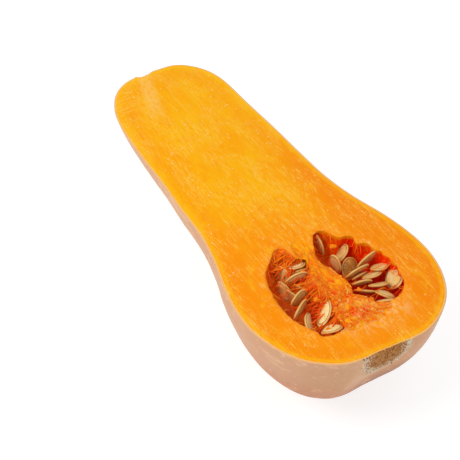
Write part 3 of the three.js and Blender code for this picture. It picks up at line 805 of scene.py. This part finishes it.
# painted highlights: pale specks stand in for glints of moisture where the knife tore the cells
glint_cell_dist = g.voronoi(g.scaled(L, (0.22, 0.42, 0.4)), 1.0)
glint_patch = g.step(g.noise(g.scaled(L, (0.06, 0.06, 0.06)), 1, 2, 0.5), 0.46, 0.62)
glint_speck = g.mul(g.mul(g.step(glint_cell_dist, 0.15, 0.07), glint_patch), g.step(SD, 2.0, 4.0))
flesh = g.mix(g.mul(glint_speck, 0.85), flesh, lin(255, 222, 168))
# more pale specks near the rim and in patches: partly pale cells, partly painted glints of moisture
fine_glint_cells = g.voronoi(g.scaled(L, (0.55, 0.9, 0.9)), 1.0)
glint_rim_on = g.math("ADD", g.mul(g.step(SD, 14, 4), 0.9), g.mul(g.step(mottle, 0.50, 0.66), 0.8), clamp=True)
flesh = g.mix(g.mul(g.mul(g.step(fine_glint_cells, 0.17, 0.08), glint_rim_on), 0.75), flesh, lin(255, 218, 140))
# scratches of the knife
scr = g.noise(g.scaled(L, (0.045, 0.9, 0.5)), 1, 2, 0.5, 0.2)
scr_v = g.math("ABSOLUTE", g.math("SUBTRACT", scr, 0.5))
scr_on = g.step(g.noise(g.scaled(L, (0.03, 0.06, 0.05)), 1, 2, 0.5), 0.56, 0.66)
flesh = g.mix(g.mul(g.mul(g.step(scr_v, 0.012, 0.003), scr_on), 0.7), flesh, lin(255, 214, 110))
# rind as a thin pale line at the edge
rind_line = g.mix(g.step(SD, 0.35, 0.9), lin(226, 176, 126), lin(250, 196, 108))
cut = g.mix(g.step(SD, 0.9, 1.4), rind_line, flesh)

# cavity: orange at the lip, red and wet below; the red is partly the pulp's own colour, partly painted shade that
# grows with depth
cn = g.noise(g.scaled(L, (0.22, 0.22, 0.22)), 1, 3, 0.6, 0.6)
cs = g.noise(g.scaled(L, (0.9, 0.22, 0.35)), 1, 3, 0.65, 0.8)
deep = g.math("ADD", CAV, g.mul(g.math("SUBTRACT", cn, 0.5), 5.0))
webn = g.noise(g.scaled(L, (0.16, 0.75, 0.6)), 1, 5, 0.68, 1.0)
webc = g.mix(g.step(webn, 0.34, 0.58), lin(255, 122, 0), lin(255, 172, 10))
# pale yellow streaks along the web fibres: partly paler fibres, partly painted highlights
webc = g.mix(g.mul(g.step(webn, 0.58, 0.70), 0.5), webc, lin(255, 198, 92))
webr = g.mul(g.mul(g.step(g.noise(g.scaled(L, (0.20, 0.26, 0.3)), 1, 3, 0.6, 1.2), 0.45, 0.57), g.step(LX, 64, 48)), g.step(CAV, 0.3, 1.2))
webc = g.mix(g.mul(webr, 0.9), webc, lin(246, 46, 0))
pale = g.mul(g.step(g.noise(g.scaled(L, (0.22, 0.30, 0.3)), 1, 4, 0.7, 1.5), 0.50, 0.62), g.step(LX, 46, 30))
webc = g.mix(g.mul(pale, 0.6), webc, lin(255, 186, 124))
redc = g.mix(g.step(cs, 0.40, 0.70), lin(250, 30, 0), lin(255, 84, 0))
redc = g.mix(g.mul(g.step(LY, 2, 8), g.step(cn, 0.24, 0.46)), redc, lin(255, 138, 12))
redc = g.mix(g.mul(g.step(cs, 0.60, 0.72), 0.6), redc, lin(255, 150, 26))
# painted shade: the red darkens deepest in the lobes, less so in the left lobe
deep_shade_weight = g.math("SUBTRACT", 1.0, g.mul(g.step(LY, 4, 10), 0.55))
redc = g.mix(g.mul(g.mul(g.step(deep, 10, 19), 0.75), deep_shade_weight), redc, lin(206, 16, 0))
# the stalk ends of both lobes run out in fibrous orange flesh
head_r = g.mul(g.step(LX, 66, 75), g.step(LY, -22, -13))
redc = g.mix(g.mul(head_r, 0.80), redc, g.mix(g.step(cs, 0.40, 0.62), lin(255, 96, 0), lin(255, 158, 20)))
# orange turns to red with depth: partly the pulp's colour, partly painted shade
thr = g.step(deep, 1.2, 3.2)
thr_web = g.step(deep, 4.0, 11.0)
fac = g.mix(WEB, thr, thr_web)
cav = g.mix(fac, webc, redc)
near = g.step(LOBD, 2.5, -0.5)
cutc = g.mix(g.mul(near, 0.5), cut, lin(253, 134, 4))
flesh_all = g.mix(g.step(CAV, 0.02, 0.55), cutc, cav)

# outer rind: peach tan, browner toward the underside and the blossom end; the browning is painted shade, on the
# underside partly the rind's own tan
r1 = g.noise(g.scaled(L, (0.012, 0.03, 0.03)), 1, 3, 0.55, 0.6)
rind = g.mix(g.step(r1, 0.34, 0.68), lin(212, 162, 118), lin(228, 184, 146))
side = g.step(LY, 14, 46)
rind = g.mix(g.mul(side, 0.8), rind, lin(198, 148, 114))
# painted shade on the underside, partly the rind's own tan
under_shade = g.mul(g.step(LZ, -10, -44), g.step(LX, 116, 28))
rind = g.mix(g.mul(under_shade, 0.92), rind, lin(184, 104, 46))
# painted shade: the blossom end darker, and darkest toward the bottom silhouette
bloss_shade = g.mul(g.step(LX, 26, 6), g.step(LY, 22, 2))
rind = g.mix(g.mul(bloss_shade, 0.75), rind, lin(200, 134, 82))
bloss_low_shade = g.mul(g.mul(g.step(LX, 50, 22), g.step(LZ, -18, -38)), g.step(LY, 26, 8))
rind = g.mix(g.mul(bloss_low_shade, 0.92), rind, lin(150, 78, 28))
r2 = g.noise(g.scaled(L, (0.05, 0.22, 0.22)), 1, 4, 0.6, 0.4)
rind = g.mix(g.mul(g.step(r2, 0.52, 0.72), 0.42), rind, lin(244, 206, 170))
rind = g.mix(g.mul(g.step(r2, 0.44, 0.28), 0.35), rind, lin(206, 146, 96))
r3 = g.noise(g.scaled(L, (0.9, 0.9, 0.9)), 1, 3, 0.7)
rind = g.mix(g.mul(g.step(r3, 0.58, 0.72), 0.25), rind, lin(246, 214, 184))
pores = g.voronoi(g.scaled(L, (0.34, 0.34, 0.34)), 1.0)
rind = g.mix(g.mul(g.step(pores, 0.10, 0.05), 0.30), rind, lin(186, 126, 76))
scuff = g.noise(g.scaled(L, (0.06, 0.55, 0.5)), 1, 4, 0.7, 2.0)
rind = g.mix(g.mul(g.step(scuff, 0.66, 0.74), 0.40), rind, lin(204, 150, 104))
# cork of the blossom scar
cork_n = g.noise(g.scaled(L, (0.75, 0.75, 0.75)), 1, 4, 0.7, 0.5)
cork_f = g.noise(g.scaled(L, (2.2, 2.2, 2.2)), 1, 2, 0.6)
cork = g.mix(g.step(cork_n, 0.40, 0.60), lin(146, 80, 26), lin(206, 146, 78))
net = g.voronoi(g.scaled(L, (0.62, 0.62, 0.62)), 1.0, "DISTANCE_TO_EDGE")
cork = g.mix(g.mul(g.step(net, 0.12, 0.03), g.step(SCARR, 0.45, 0.80)), cork, lin(226, 208, 182))
cork = g.mix(g.mul(g.step(cork_f, 0.56, 0.68), 0.75), cork, lin(226, 184, 130))
cork = g.mix(g.mul(g.step(cork_f, 0.44, 0.32), 0.8), cork, lin(98, 54, 22))
ring = g.mul(g.step(SCARR, 0.72, 0.88), g.step(SCARR, 1.14, 1.02))
cork = g.mix(g.mul(g.mul(ring, g.step(cork_n, 0.38, 0.56)), 0.85), cork, lin(230, 214, 190))
halo = g.mul(g.step(SCARR, 1.30, 1.0), 0.4)
rind = g.mix(g.mul(halo, g.step(r2, 0.35, 0.6)), rind, lin(214, 168, 122))
# painted light: the bulb's right flank paler, as if a rim light fell on it
rim_light_r = g.mul(g.mul(g.step(LY, -4, -44), g.step(LX, 110, 20)), g.step(LZ, -60, -6))
rind = g.mix(g.mul(rim_light_r, 0.35), rind, lin(236, 204, 176))
rind = g.mix(SCAR, rind, cork)
stemc = g.mix(g.step(cork_n, 0.4, 0.6), lin(140, 108, 48), lin(206, 160, 92))
rind = g.mix(STEM, rind, stemc)
colour = g.mix(g.step(SD, -0.32, -0.05), rind, flesh_all)
colour = g.mix(g.mul(g.mul(SCAR, g.step(SD, 1.0, 0.2)), g.step(SD, -0.4, -0.1)), colour, cork)

rough_cut = g.math("ADD", g.mul(g.step(grain, 0.35, 0.65), 0.16), 0.34)
rough_cav = g.math("ADD", g.mul(g.step(cn, 0.3, 0.7), 0.14), 0.20)
rough_flesh = g.mix(g.step(CAV, 0.1, 1.5), rough_cut, rough_cav)
rough_rind = g.math("ADD", g.mul(g.step(r2, 0.3, 0.7), 0.14), 0.40)
rough_rind = g.mix(SCAR, rough_rind, (0.85, 0.85, 0.85, 1))
rough = g.mix(g.step(SD, -0.32, -0.05), rough_rind, rough_flesh)

h1 = g.bump(g.math("ADD", g.mul(fine, 0.6), g.mul(grain, 0.5)), 0.35, 0.00022)
h2 = g.bump(g.math("ADD", g.mul(r3, 0.5), g.mul(g.step(pores, 0.0, 0.16), 0.5)), 0.30, 0.00016)
h3 = g.bump(g.math("ADD", g.mul(cork_n, 1.0), g.mul(cork_f, 0.8)), 0.9, 0.0005)
vm = g.nt.nodes.new("ShaderNodeMix")
vm.data_type = "VECTOR"
g.put(vm.inputs["Factor"], g.step(SD, -0.32, -0.05))
g.put(vm.inputs[4], h2)
g.put(vm.inputs[5], h1)
vm2 = g.nt.nodes.new("ShaderNodeMix")
vm2.data_type = "VECTOR"
g.put(vm2.inputs["Factor"], SCAR)
g.put(vm2.inputs[4], vm.outputs[1])
g.put(vm2.inputs[5], h3)
g.set(Base_Color=colour, Roughness=rough, Normal=vm2.outputs[1])
g.bsdf.inputs["Subsurface Weight"].default_value = 0.25
g.bsdf.inputs["Subsurface Radius"].default_value = (1.0, 0.42, 0.12)
g.bsdf.inputs["Subsurface Scale"].default_value = 0.0022
spec = g.math("ADD", g.mul(g.step(CAV, 0.3, 2.0), 0.07), g.mul(g.step(SD, -0.05, -0.32), 0.18))
g.set(Specular_IOR_Level=g.math("ADD", spec, 0.05))
body.data.materials.clear()
body.data.materials.append(g.mat)
body.data.polygons.foreach_set("material_index", np.zeros(len(body.data.polygons), np.int32))
body.data.polygons.foreach_set("use_smooth", np.ones(len(body.data.polygons), bool))
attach(body, "root")
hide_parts("squash_half")

# ------------------------------------------------------------------ 5. seeds
def make_seed(name, s, k):
    mid, lng, nrm, across, length = seed_frame(s)
    NU = 72
    # outline by arc length
    top_t, top_h = PROFILE_T, PROFILE_H
    pts = np.concatenate([np.stack([top_t, top_h], 1), np.stack([top_t[::-1], -top_h[::-1]], 1)[1:-1]]) * [length, s["w"] / 2]
    q = np.vstack([pts, pts[:1]])
    d = np.r_[0, np.cumsum(np.hypot(*np.diff(q, axis=0).T))]
    u = np.linspace(0, d[-1], NU, endpoint=False)
    out = np.stack([np.interp(u, d, q[:, 0]), np.interp(u, d, q[:, 1])], 1)
    for _ in range(2):
        out = (np.roll(out, 1, 0) + 2 * out + np.roll(out, -1, 0)) / 4
    radii = np.array([0.16, 0.34, 0.52, 0.66, 0.76, 0.82, 0.86, 0.90, 0.94, 0.975, 1.0])
    hts = np.array([1.0, 0.99, 0.96, 0.91, 0.82, 0.66, 0.50, 0.56, 0.54, 0.38, 0.10]) * SEED_THICK / 2
    rings, rv = [], []
    g_ = np.random.default_rng(100 + k)
    bend, twist = g_.uniform(-0.5, 0.5), g_.uniform(-0.25, 0.25)
    def height(xy):
        t, c = xy[:, 0] / (length / 2), xy[:, 1] / (s["w"] / 2)
        return bend * (t * t - 0.4) + twist * t * c
    for sgn in (1, -1):
        order = range(len(radii)) if sgn > 0 else range(len(radii) - 1, -1, -1)
        for i in order:
            xy = out * radii[i]
            shrink = out * (1 - (1 - radii[i]) * 1.0)
            z = sgn * hts[i] + height(shrink)
            n = N2(np.stack([shrink[:, 0] + 37 * k, shrink[:, 1], np.full(NU, sgn * 5.0)], 1), (2.6, 2.6, 2.6)) * 0.10 * (1 if radii[i] < 0.9 else 0.35)
            rings.append(np.stack([shrink[:, 0], shrink[:, 1], z + n], 1))
            rv.append(np.full(NU, radii[i]))
    rings = np.array(rings)
    c_top = np.array([[0, 0, SEED_THICK / 2 + height(np.zeros((1, 2)))[0]]])
    c_bot = np.array([[0, 0, -SEED_THICK / 2 + height(np.zeros((1, 2)))[0]]])
    local = np.concatenate([rings.reshape(-1, 3), c_top, c_bot])
    M = np.stack([lng, across, nrm], 1)
    if np.linalg.det(M) < 0:
        M[:, 1] *= -1
    v = local @ M.T + mid
    nr = len(rings)
    qd = grid_quads(nr, NU, 0)
    i = np.arange(NU)
    j = (i + 1) % NU
    ct, cb = nr * NU, nr * NU + 1
    f1 = np.stack([np.full(NU, ct), i, j], 1)
    f2 = np.stack([np.full(NU, cb), (nr - 1) * NU + j, (nr - 1) * NU + i], 1)
    # make every face point outwards
    vol = 0
    for f in (qd[:, [0, 1, 2]], qd[:, [0, 2, 3]], f1, f2):
        a, b, c = local[f[:, 0]], local[f[:, 1]], local[f[:, 2]]
        vol += (np.cross(a, b) * c).sum()
    if (vol < 0):
        qd, f1, f2 = qd[:, ::-1], f1[:, ::-1], f2[:, ::-1]
    ob = make_mesh(name + "_seed", v, [qd, f1, f2])
    rvals = np.concatenate(rv + [np.zeros(2)])
    set_attr(ob.data, "rimv", rvals)
    set_attr(ob.data, "loc", local + np.array([0, 0, 40.0 * k]))
    set_attr(ob.data, "tint", np.full(len(v), s["tint"]))
    set_attr(ob.data, "along", local[:, 0] / length + 0.5) if len(local) == len(v) else None
    return ob, v


gs = Graph("seed_coat")
L = gs.attr("loc", True)
RV, TI, AL = gs.attr("rimv"), gs.attr("tint"), gs.attr("along")
n1 = gs.noise(gs.scaled(L, (0.25, 0.25, 0.25)), 1, 3, 0.6, 0.5)
n2 = gs.noise(gs.scaled(L, (1.2, 0.5, 0.8)), 1, 3, 0.6)
cream = gs.mix(gs.step(n1, 0.35, 0.65), lin(240, 196, 108), lin(255, 228, 164))
amber = gs.mix(gs.step(n1, 0.35, 0.65), lin(170, 100, 18), lin(204, 140, 48))
# the amber seeds are partly painted shade
coat = gs.mix(gs.math("ADD", TI, gs.mul(gs.math("SUBTRACT", n1, 0.5), 0.5), clamp=True), cream, amber)
coat = gs.mix(gs.mul(gs.step(n2, 0.55, 0.72), 0.35), coat, lin(250, 232, 200))
coat = gs.mix(gs.mul(gs.step(n2, 0.45, 0.30), 0.35), coat, lin(206, 146, 66))
# painted shade: a darker line in the groove inside the seed's margin
groove_shade = gs.mul(gs.step(RV, 0.76, 0.85), gs.step(RV, 0.93, 0.87))
coat = gs.mix(gs.mul(groove_shade, 0.85), coat, lin(166, 96, 14))
edge = gs.step(RV, 0.89, 0.95)
coat = gs.mix(gs.mul(edge, 0.8), coat, lin(234, 186, 104))
stain = gs.mul(gs.step(AL, 0.22, 0.02), 0.6)
coat = gs.mix(stain, coat, lin(226, 132, 40))
film = gs.step(gs.noise(gs.scaled(L, (0.16, 0.3, 0.2)), 1, 4, 0.65, 1.0), 0.60, 0.72)
coat = gs.mix(gs.mul(film, 0.4), coat, lin(240, 140, 40))
gs.set(Base_Color=coat, Roughness=gs.math("ADD", gs.mul(n2, 0.25), 0.22), Normal=gs.bump(gs.math("ADD", n2, gs.mul(n1, 0.6)), 0.25, 0.00018))
gs.bsdf.inputs["Subsurface Weight"].default_value = 0.18
gs.bsdf.inputs["Subsurface Radius"].default_value = (1.0, 0.55, 0.25)
gs.bsdf.inputs["Subsurface Scale"].default_value = 0.0012
gs.bsdf.inputs["Specular IOR Level"].default_value = 0.2
gs.bsdf.inputs["Coat Weight"].default_value = 0.22
gs.bsdf.inputs["Coat Roughness"].default_value = 0.12

seed_verts = {}
for k, (name, s) in enumerate(SEEDS.items()):
    ob, v = make_seed(name, s, k)
    seed_verts[name] = v
    ob.data.materials.append(gs.mat)
    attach(ob, "root")
    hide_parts(name)

# ------------------------------------------------------------------ 6. pulp strands
def height_map():
    """Level of the first flesh met going down from the cut plane, over the grid of the field."""
    kz = int(np.argmin(np.abs(GZ)))
    top = np.full(F.shape[:2], GZ[0])
    done = F[:, :, kz] >= 0
    top[done] = 0.0
    for q in range(kz - 1, -1, -1):
        hit = (F[:, :, q] >= 0) & ~done
        a, b = F[:, :, q], F[:, :, q + 1]
        lev = GZ[q] + H * a / np.where(a - b != 0, a - b, 1)
        top[hit] = lev[hit]
        done |= hit
    return top


HM = height_map()


def ground(x, y):
    qx, qy = np.clip((np.asarray(x) - GX[0]) / H, 0, len(GX) - 1.01), np.clip((np.asarray(y) - GY[0]) / H, 0, len(GY) - 1.01)
    i, j = qx.astype(int), qy.astype(int)
    a, b = qx - i, qy - j
    return (HM[i, j] * (1 - a) + HM[i + 1, j] * a) * (1 - b) + (HM[i, j + 1] * (1 - a) + HM[i + 1, j + 1] * a) * b


st_v, st_f, st_a, st_n = [], [], [], 0


def strand(path, r, tone, tip=0.3, seg=6):
    """A closed tube along a path (cut frame, mm), thinner toward both ends."""
    global st_n
    path = np.asarray(path, float)
    path[:, 2] = np.minimum(path[:, 2], -0.08 - r)
    n = len(path)
    t = np.gradient(path, axis=0)
    t /= np.linalg.norm(t, axis=1)[:, None] + 1e-9
    ref = np.array([0.13, 0.21, 0.97])
    e1 = np.cross(t, ref)
    e1 /= np.linalg.norm(e1, axis=1)[:, None] + 1e-9
    e2 = np.cross(t, e1)
    u = np.linspace(0, 1, n)
    rad = r * (tip + (1 - tip) * np.sin(np.pi * np.clip(u, 0.02, 0.98)) ** 0.7)
    ph = np.arange(seg) / seg * 2 * np.pi
    ring = path[:, None] + rad[:, None, None] * (np.cos(ph)[None, :, None] * e1[:, None] + np.sin(ph)[None, :, None] * e2[:, None] * 0.75)
    v = np.concatenate([ring.reshape(-1, 3), path[:1] - t[:1] * rad[0], path[-1:] + t[-1:] * rad[-1]])
    i = np.arange(seg)
    j = (i + 1) % seg
    f = [np.stack([k * seg + i, k * seg + j, (k + 1) * seg + j, (k + 1) * seg + i], 1) for k in range(n - 1)]
    q = np.concatenate(f)
    c0, c1 = np.full(seg, n * seg), np.full(seg, n * seg + 1)
    tr = np.concatenate([np.stack([c0, j, i], 1), np.stack([c1, (n - 1) * seg + i, (n - 1) * seg + j], 1)])
    a, b, c = v[tr[:, 0]], v[tr[:, 1]], v[tr[:, 2]]
    vol = (np.cross(a - path[0], b - path[0]) * (c - path[0])).sum()
    for w0 in (q[:, [0, 1, 2]], q[:, [0, 2, 3]]):
        a, b, c = v[w0[:, 0]] - path[0], v[w0[:, 1]] - path[0], v[w0[:, 2]] - path[0]
        vol += (np.cross(a, b) * c).sum()
    if vol < 0:
        q, tr = q[:, ::-1], tr[:, ::-1]
    st_v.append(v)
    st_f.append((q + st_n, tr + st_n))
    st_a.append(np.stack([np.full(len(v), tone), np.r_[np.repeat(u, seg), 0, 1]], 1))
    st_n += len(v)


sr_ = np.random.default_rng(77)


def wander(x, y, ang, length, n=9, curl=0.25):
    step = length / (n - 1)
    out = [(x, y)]
    for _ in range(n - 1):
        ang += sr_.normal(0, curl)
        x, y = x + math.cos(ang) * step, y + math.sin(ang) * step
        out.append((x, y))
    return np.array(out)


# a: fibres lying over the web, lengthwise at the neck end and fanning out toward the blossom end
for _ in range(210):
    x = 24 + 56 * sr_.random() ** 1.35
    half = np.interp(x, [16, 24, 34, 48, 62, 74, 86], [13, 18, 14.5, 10, 7.5, 6.0, 3.0])
    y = 2.8 + sr_.uniform(-1, 1) * half
    fan = np.interp(x, [24, 45, 62, 80], [1.25, 0.85, 0.25, 0.0]) * (y - 2.8) / max(half, 1)
    ang = math.pi - fan + sr_.normal(0, 0.22)
    xy = wander(x, y, ang, sr_.uniform(4, 12), curl=0.12 + 0.15 * (x < 50))
    z = ground(xy[:, 0], xy[:, 1])
    lift = sr_.uniform(-0.24, 0.06) + (0.45 * np.sin(np.linspace(0, np.pi, len(xy))) * sr_.random() if x < 52 else 0)
    strand(np.c_[xy, z + lift], sr_.uniform(0.16, 0.42), sr_.uniform(0.35, 0.95))
# b: strands running from the web down into the left lobe
for _ in range(240):
    x = sr_.uniform(30, 82)
    y0 = np.interp(x, [20, 33, 42, 54, 66, 76, 86], [15, 11.5, 10.0, 8.6, 8.4, 9.2, 11])
    xy = wander(x, y0 + sr_.uniform(-2.5, 2.0), math.radians(100) + sr_.normal(0, 0.30), sr_.uniform(6, 17), curl=0.16)
    z = ground(xy[:, 0], xy[:, 1])
    u = np.linspace(0, 1, len(xy))
    sag = z[0] * (1 - u) + (z[-1] * sr_.uniform(0.25, 0.8)) * u - 1.2 * np.sin(np.pi * u) * sr_.random()
    z = np.maximum(z + 0.12, np.minimum(sag, -0.5 - 3.5 * u))
    strand(np.c_[xy, z], sr_.uniform(0.16, 0.50), sr_.uniform(0.0, 0.75))
# c: short torn threads along the walls of both lobes
for poly, n_th in ((LOBE_L, 260), (LOBE_R, 110)):
    mid = poly.mean(0)
    for _ in range(n_th):
        k = int(sr_.integers(len(poly)))
        p0 = poly[k]
        inward = mid - p0
        inward /= np.linalg.norm(inward)
        side = np.array([-inward[1], inward[0]])
        a0 = math.atan2(inward[1], inward[0]) + sr_.normal(0, 0.7)
        xy = wander(*(p0 - inward * sr_.uniform(-0.5, 0.8) + side * sr_.normal(0, 1.0)), a0, sr_.uniform(2.0, 6.5), n=7, curl=0.3)
        u = np.linspace(0, 1, len(xy))
        z0 = ground(*xy[0])
        z = np.maximum(ground(xy[:, 0], xy[:, 1]) + 0.1, z0 - sr_.uniform(1, 6) * u**1.2 - 0.3)
        strand(np.c_[xy, z], sr_.uniform(0.12, 0.30), sr_.uniform(0.0, 0.8))
# d: a fuzzy fringe at the blossom end of the web
for _ in range(150):
    x, y = sr_.uniform(22, 46), sr_.uniform(-14, 17)
    xy = wander(x, y, sr_.uniform(0, 2 * math.pi), sr_.uniform(1.6, 5.0), n=7, curl=0.5)
    z = ground(xy[:, 0], xy[:, 1]) - 0.05 + 0.45 * np.sin(np.linspace(0, np.pi, 7)) * sr_.random()
    strand(np.c_[xy, z], sr_.uniform(0.14, 0.40), 1.0 if sr_.random() < 0.3 else sr_.uniform(0.2, 0.9))
# e: threads that tie the seeds to the pulp
for name, s in SEEDS.items():
    m_, l_, n_, a_, len_ = seed_frame(s)
    for _ in range(5 if "right" in name else 6):
        e = m_ + l_ * len_ * sr_.choice([-0.5, 0.5]) * sr_.uniform(0.75, 1.0) + a_ * s["w"] * sr_.uniform(-0.35, 0.35) + n_ * sr_.uniform(-1.1, 1.1)
        target = np.array([e[0] + sr_.normal(0, 2.5), 2.8 if sr_.random() < 0.6 else e[1] * 1.7, 0.0])
        d = target - e
        d[2] = 0
        d = d / (np.linalg.norm(d) + 1e-9) * sr_.uniform(3, 8)
        u = np.linspace(0, 1, 8)
        path = e + np.outer(u, d) + np.outer(np.sin(np.pi * u), sr_.normal(0, 0.7, 3))
        gz = ground(path[:, 0], path[:, 1]) + 0.1
        path[:, 2] = np.maximum(path[:, 2] + u * sr_.uniform(-2.5, 2.0), gz)
        strand(path, sr_.uniform(0.12, 0.30), sr_.uniform(0.1, 0.9))
# f: soft knobs of pulp
for (x, y, dz, r) in ((72.5, -15.5, -3.2, 1.5), (70.5, 17, -4.4, 1.3), (66, 9.5, -3.4, 1.2), (46, 14.5, -3.0, 1.4), (30, 14, -1.6, 1.3), (56.5, 14.5, -5.2, 1.4), (33, -9, -1.6, 1.2), (42, -7.5, -2.2, 1.0), (27, 21.5, -2.2, 1.1)):
    xy = wander(x, y, sr_.uniform(0, 6.28), 2.6 * r, n=9, curl=0.5)
    strand(np.c_[xy, np.full(9, dz) + 0.2 * sr_.normal(0, 1, 9)], r, 0.75, tip=0.25, seg=10)

pulp = make_mesh("pulp_strands", np.concatenate(st_v), [np.concatenate([f[0] for f in st_f]), np.concatenate([f[1] for f in st_f])])
tone = np.concatenate(st_a)
set_attr(pulp.data, "tone", tone[:, 0])
set_attr(pulp.data, "loc", np.concatenate(st_v))
gp = Graph("pulp_fibres")
PL, TO = gp.attr("loc", True), gp.attr("tone")
pn = gp.noise(gp.scaled(PL, (0.5, 0.5, 0.5)), 1, 3, 0.6, 0.4)
psep = gp.nt.nodes.new("ShaderNodeSeparateXYZ")
gp.put(psep.inputs[0], PL)
# strands lower in the lobes go red: partly the pulp's own colour, partly painted shade
low_shade = gp.step(psep.outputs[2], -1.5, -9.0)
pc = gp.mix(gp.math("ADD", TO, gp.mul(gp.math("SUBTRACT", pn, 0.5), 0.8), clamp=True), lin(255, 78, 0), lin(255, 152, 6))
pc = gp.mix(gp.mul(gp.step(TO, 0.90, 0.99), 0.75), pc, lin(255, 200, 120))
pc = gp.mix(gp.mul(low_shade, 0.6), pc, lin(252, 52, 0))
gp.set(Base_Color=pc, Roughness=gp.math("ADD", gp.mul(pn, 0.2), 0.25))
gp.bsdf.inputs["Specular IOR Level"].default_value = 0.16
gp.bsdf.inputs["Subsurface Weight"].default_value = 0.3
gp.bsdf.inputs["Subsurface Radius"].default_value = (1.0, 0.42, 0.12)
gp.bsdf.inputs["Subsurface Scale"].default_value = 0.001
pulp.data.materials.append(gp.mat)
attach(pulp, "root")
print("strands", len(st_v), "verts", st_n)

# ------------------------------------------------------------------ 7. floor, light, camera
bpy.ops.mesh.primitive_plane_add(size=6.0, location=(0, 0, 0))
floor = bpy.context.object
floor.name = "floor"
gf = Graph("pale_floor")
gf.set(Base_Color=(0.40, 0.40, 0.40, 1), Roughness=0.9, Emission_Color=(1, 1, 1, 1), Emission_Strength=0.72)
gf.bsdf.inputs["Specular IOR Level"].default_value = 0.1
floor.data.materials.append(gf.mat)

world = bpy.data.worlds.new("studio")
bpy.context.scene.world = world
world.use_nodes = True
bgn = world.node_tree.nodes["Background"]
bgn.inputs[0].default_value = (1.0, 1.0, 1.0, 1)
bgn.inputs[1].default_value = 0.66


def area(name, loc, target, size, power, color=(1, 1, 1)):
    li = bpy.data.lights.new(name, "AREA")
    li.shape, li.size, li.energy, li.color = "DISK", size, power, color
    ob = bpy.data.objects.new(name, li)
    bpy.context.collection.objects.link(ob)
    ob.location = loc
    ob.rotation_euler = (Vector(target) - Vector(loc)).to_track_quat("-Z", "Y").to_euler()
    return ob


# the camera keeps the angle at which the half was seen, in the frame of the cut
CAM_C = np.array([-240.972, 279.6487, 443.6525])
CAM_RIGHT = np.array([-0.538898, -0.8409119, 0.0495587])
CAM_DOWN = np.array([-0.6239061, 0.3589174, -0.6942042])
CAM_FWD = np.array([0.5659771, -0.4050253, -0.7180699])
MIDDLE = to_row(np.array([110.0, 0.0, -15.0]))


def aim(left, up, back, dist):
    d = -CAM_RIGHT * left - CAM_DOWN * up - CAM_FWD * back
    d = ROT @ (d / np.linalg.norm(d))
    return MIDDLE + d * dist


area("key", aim(0.62, 0.34, 0.85, 1.3), MIDDLE, 0.55, 7.0)
area("fill", aim(-0.3, 0.9, 0.6, 1.5), MIDDLE, 1.1, 0.8)

cam = bpy.data.cameras.new("camera")
cam.sensor_width = 36.0
cam.lens = 1150.7628 / 460 * 36.0
cam.clip_end = 50
co = bpy.data.objects.new("camera", cam)
bpy.context.collection.objects.link(co)
R3 = np.stack([ROT @ CAM_RIGHT, -(ROT @ CAM_DOWN), -(ROT @ CAM_FWD)], 1)
M4 = np.eye(4)
M4[:3, :3] = R3
M4[:3, 3] = to_row(CAM_C)
co.matrix_world = Matrix(M4.tolist())
bpy.context.scene.camera = co
bpy.context.scene.view_settings.view_transform = "Standard"
bpy.context.scene.view_settings.look = "None"
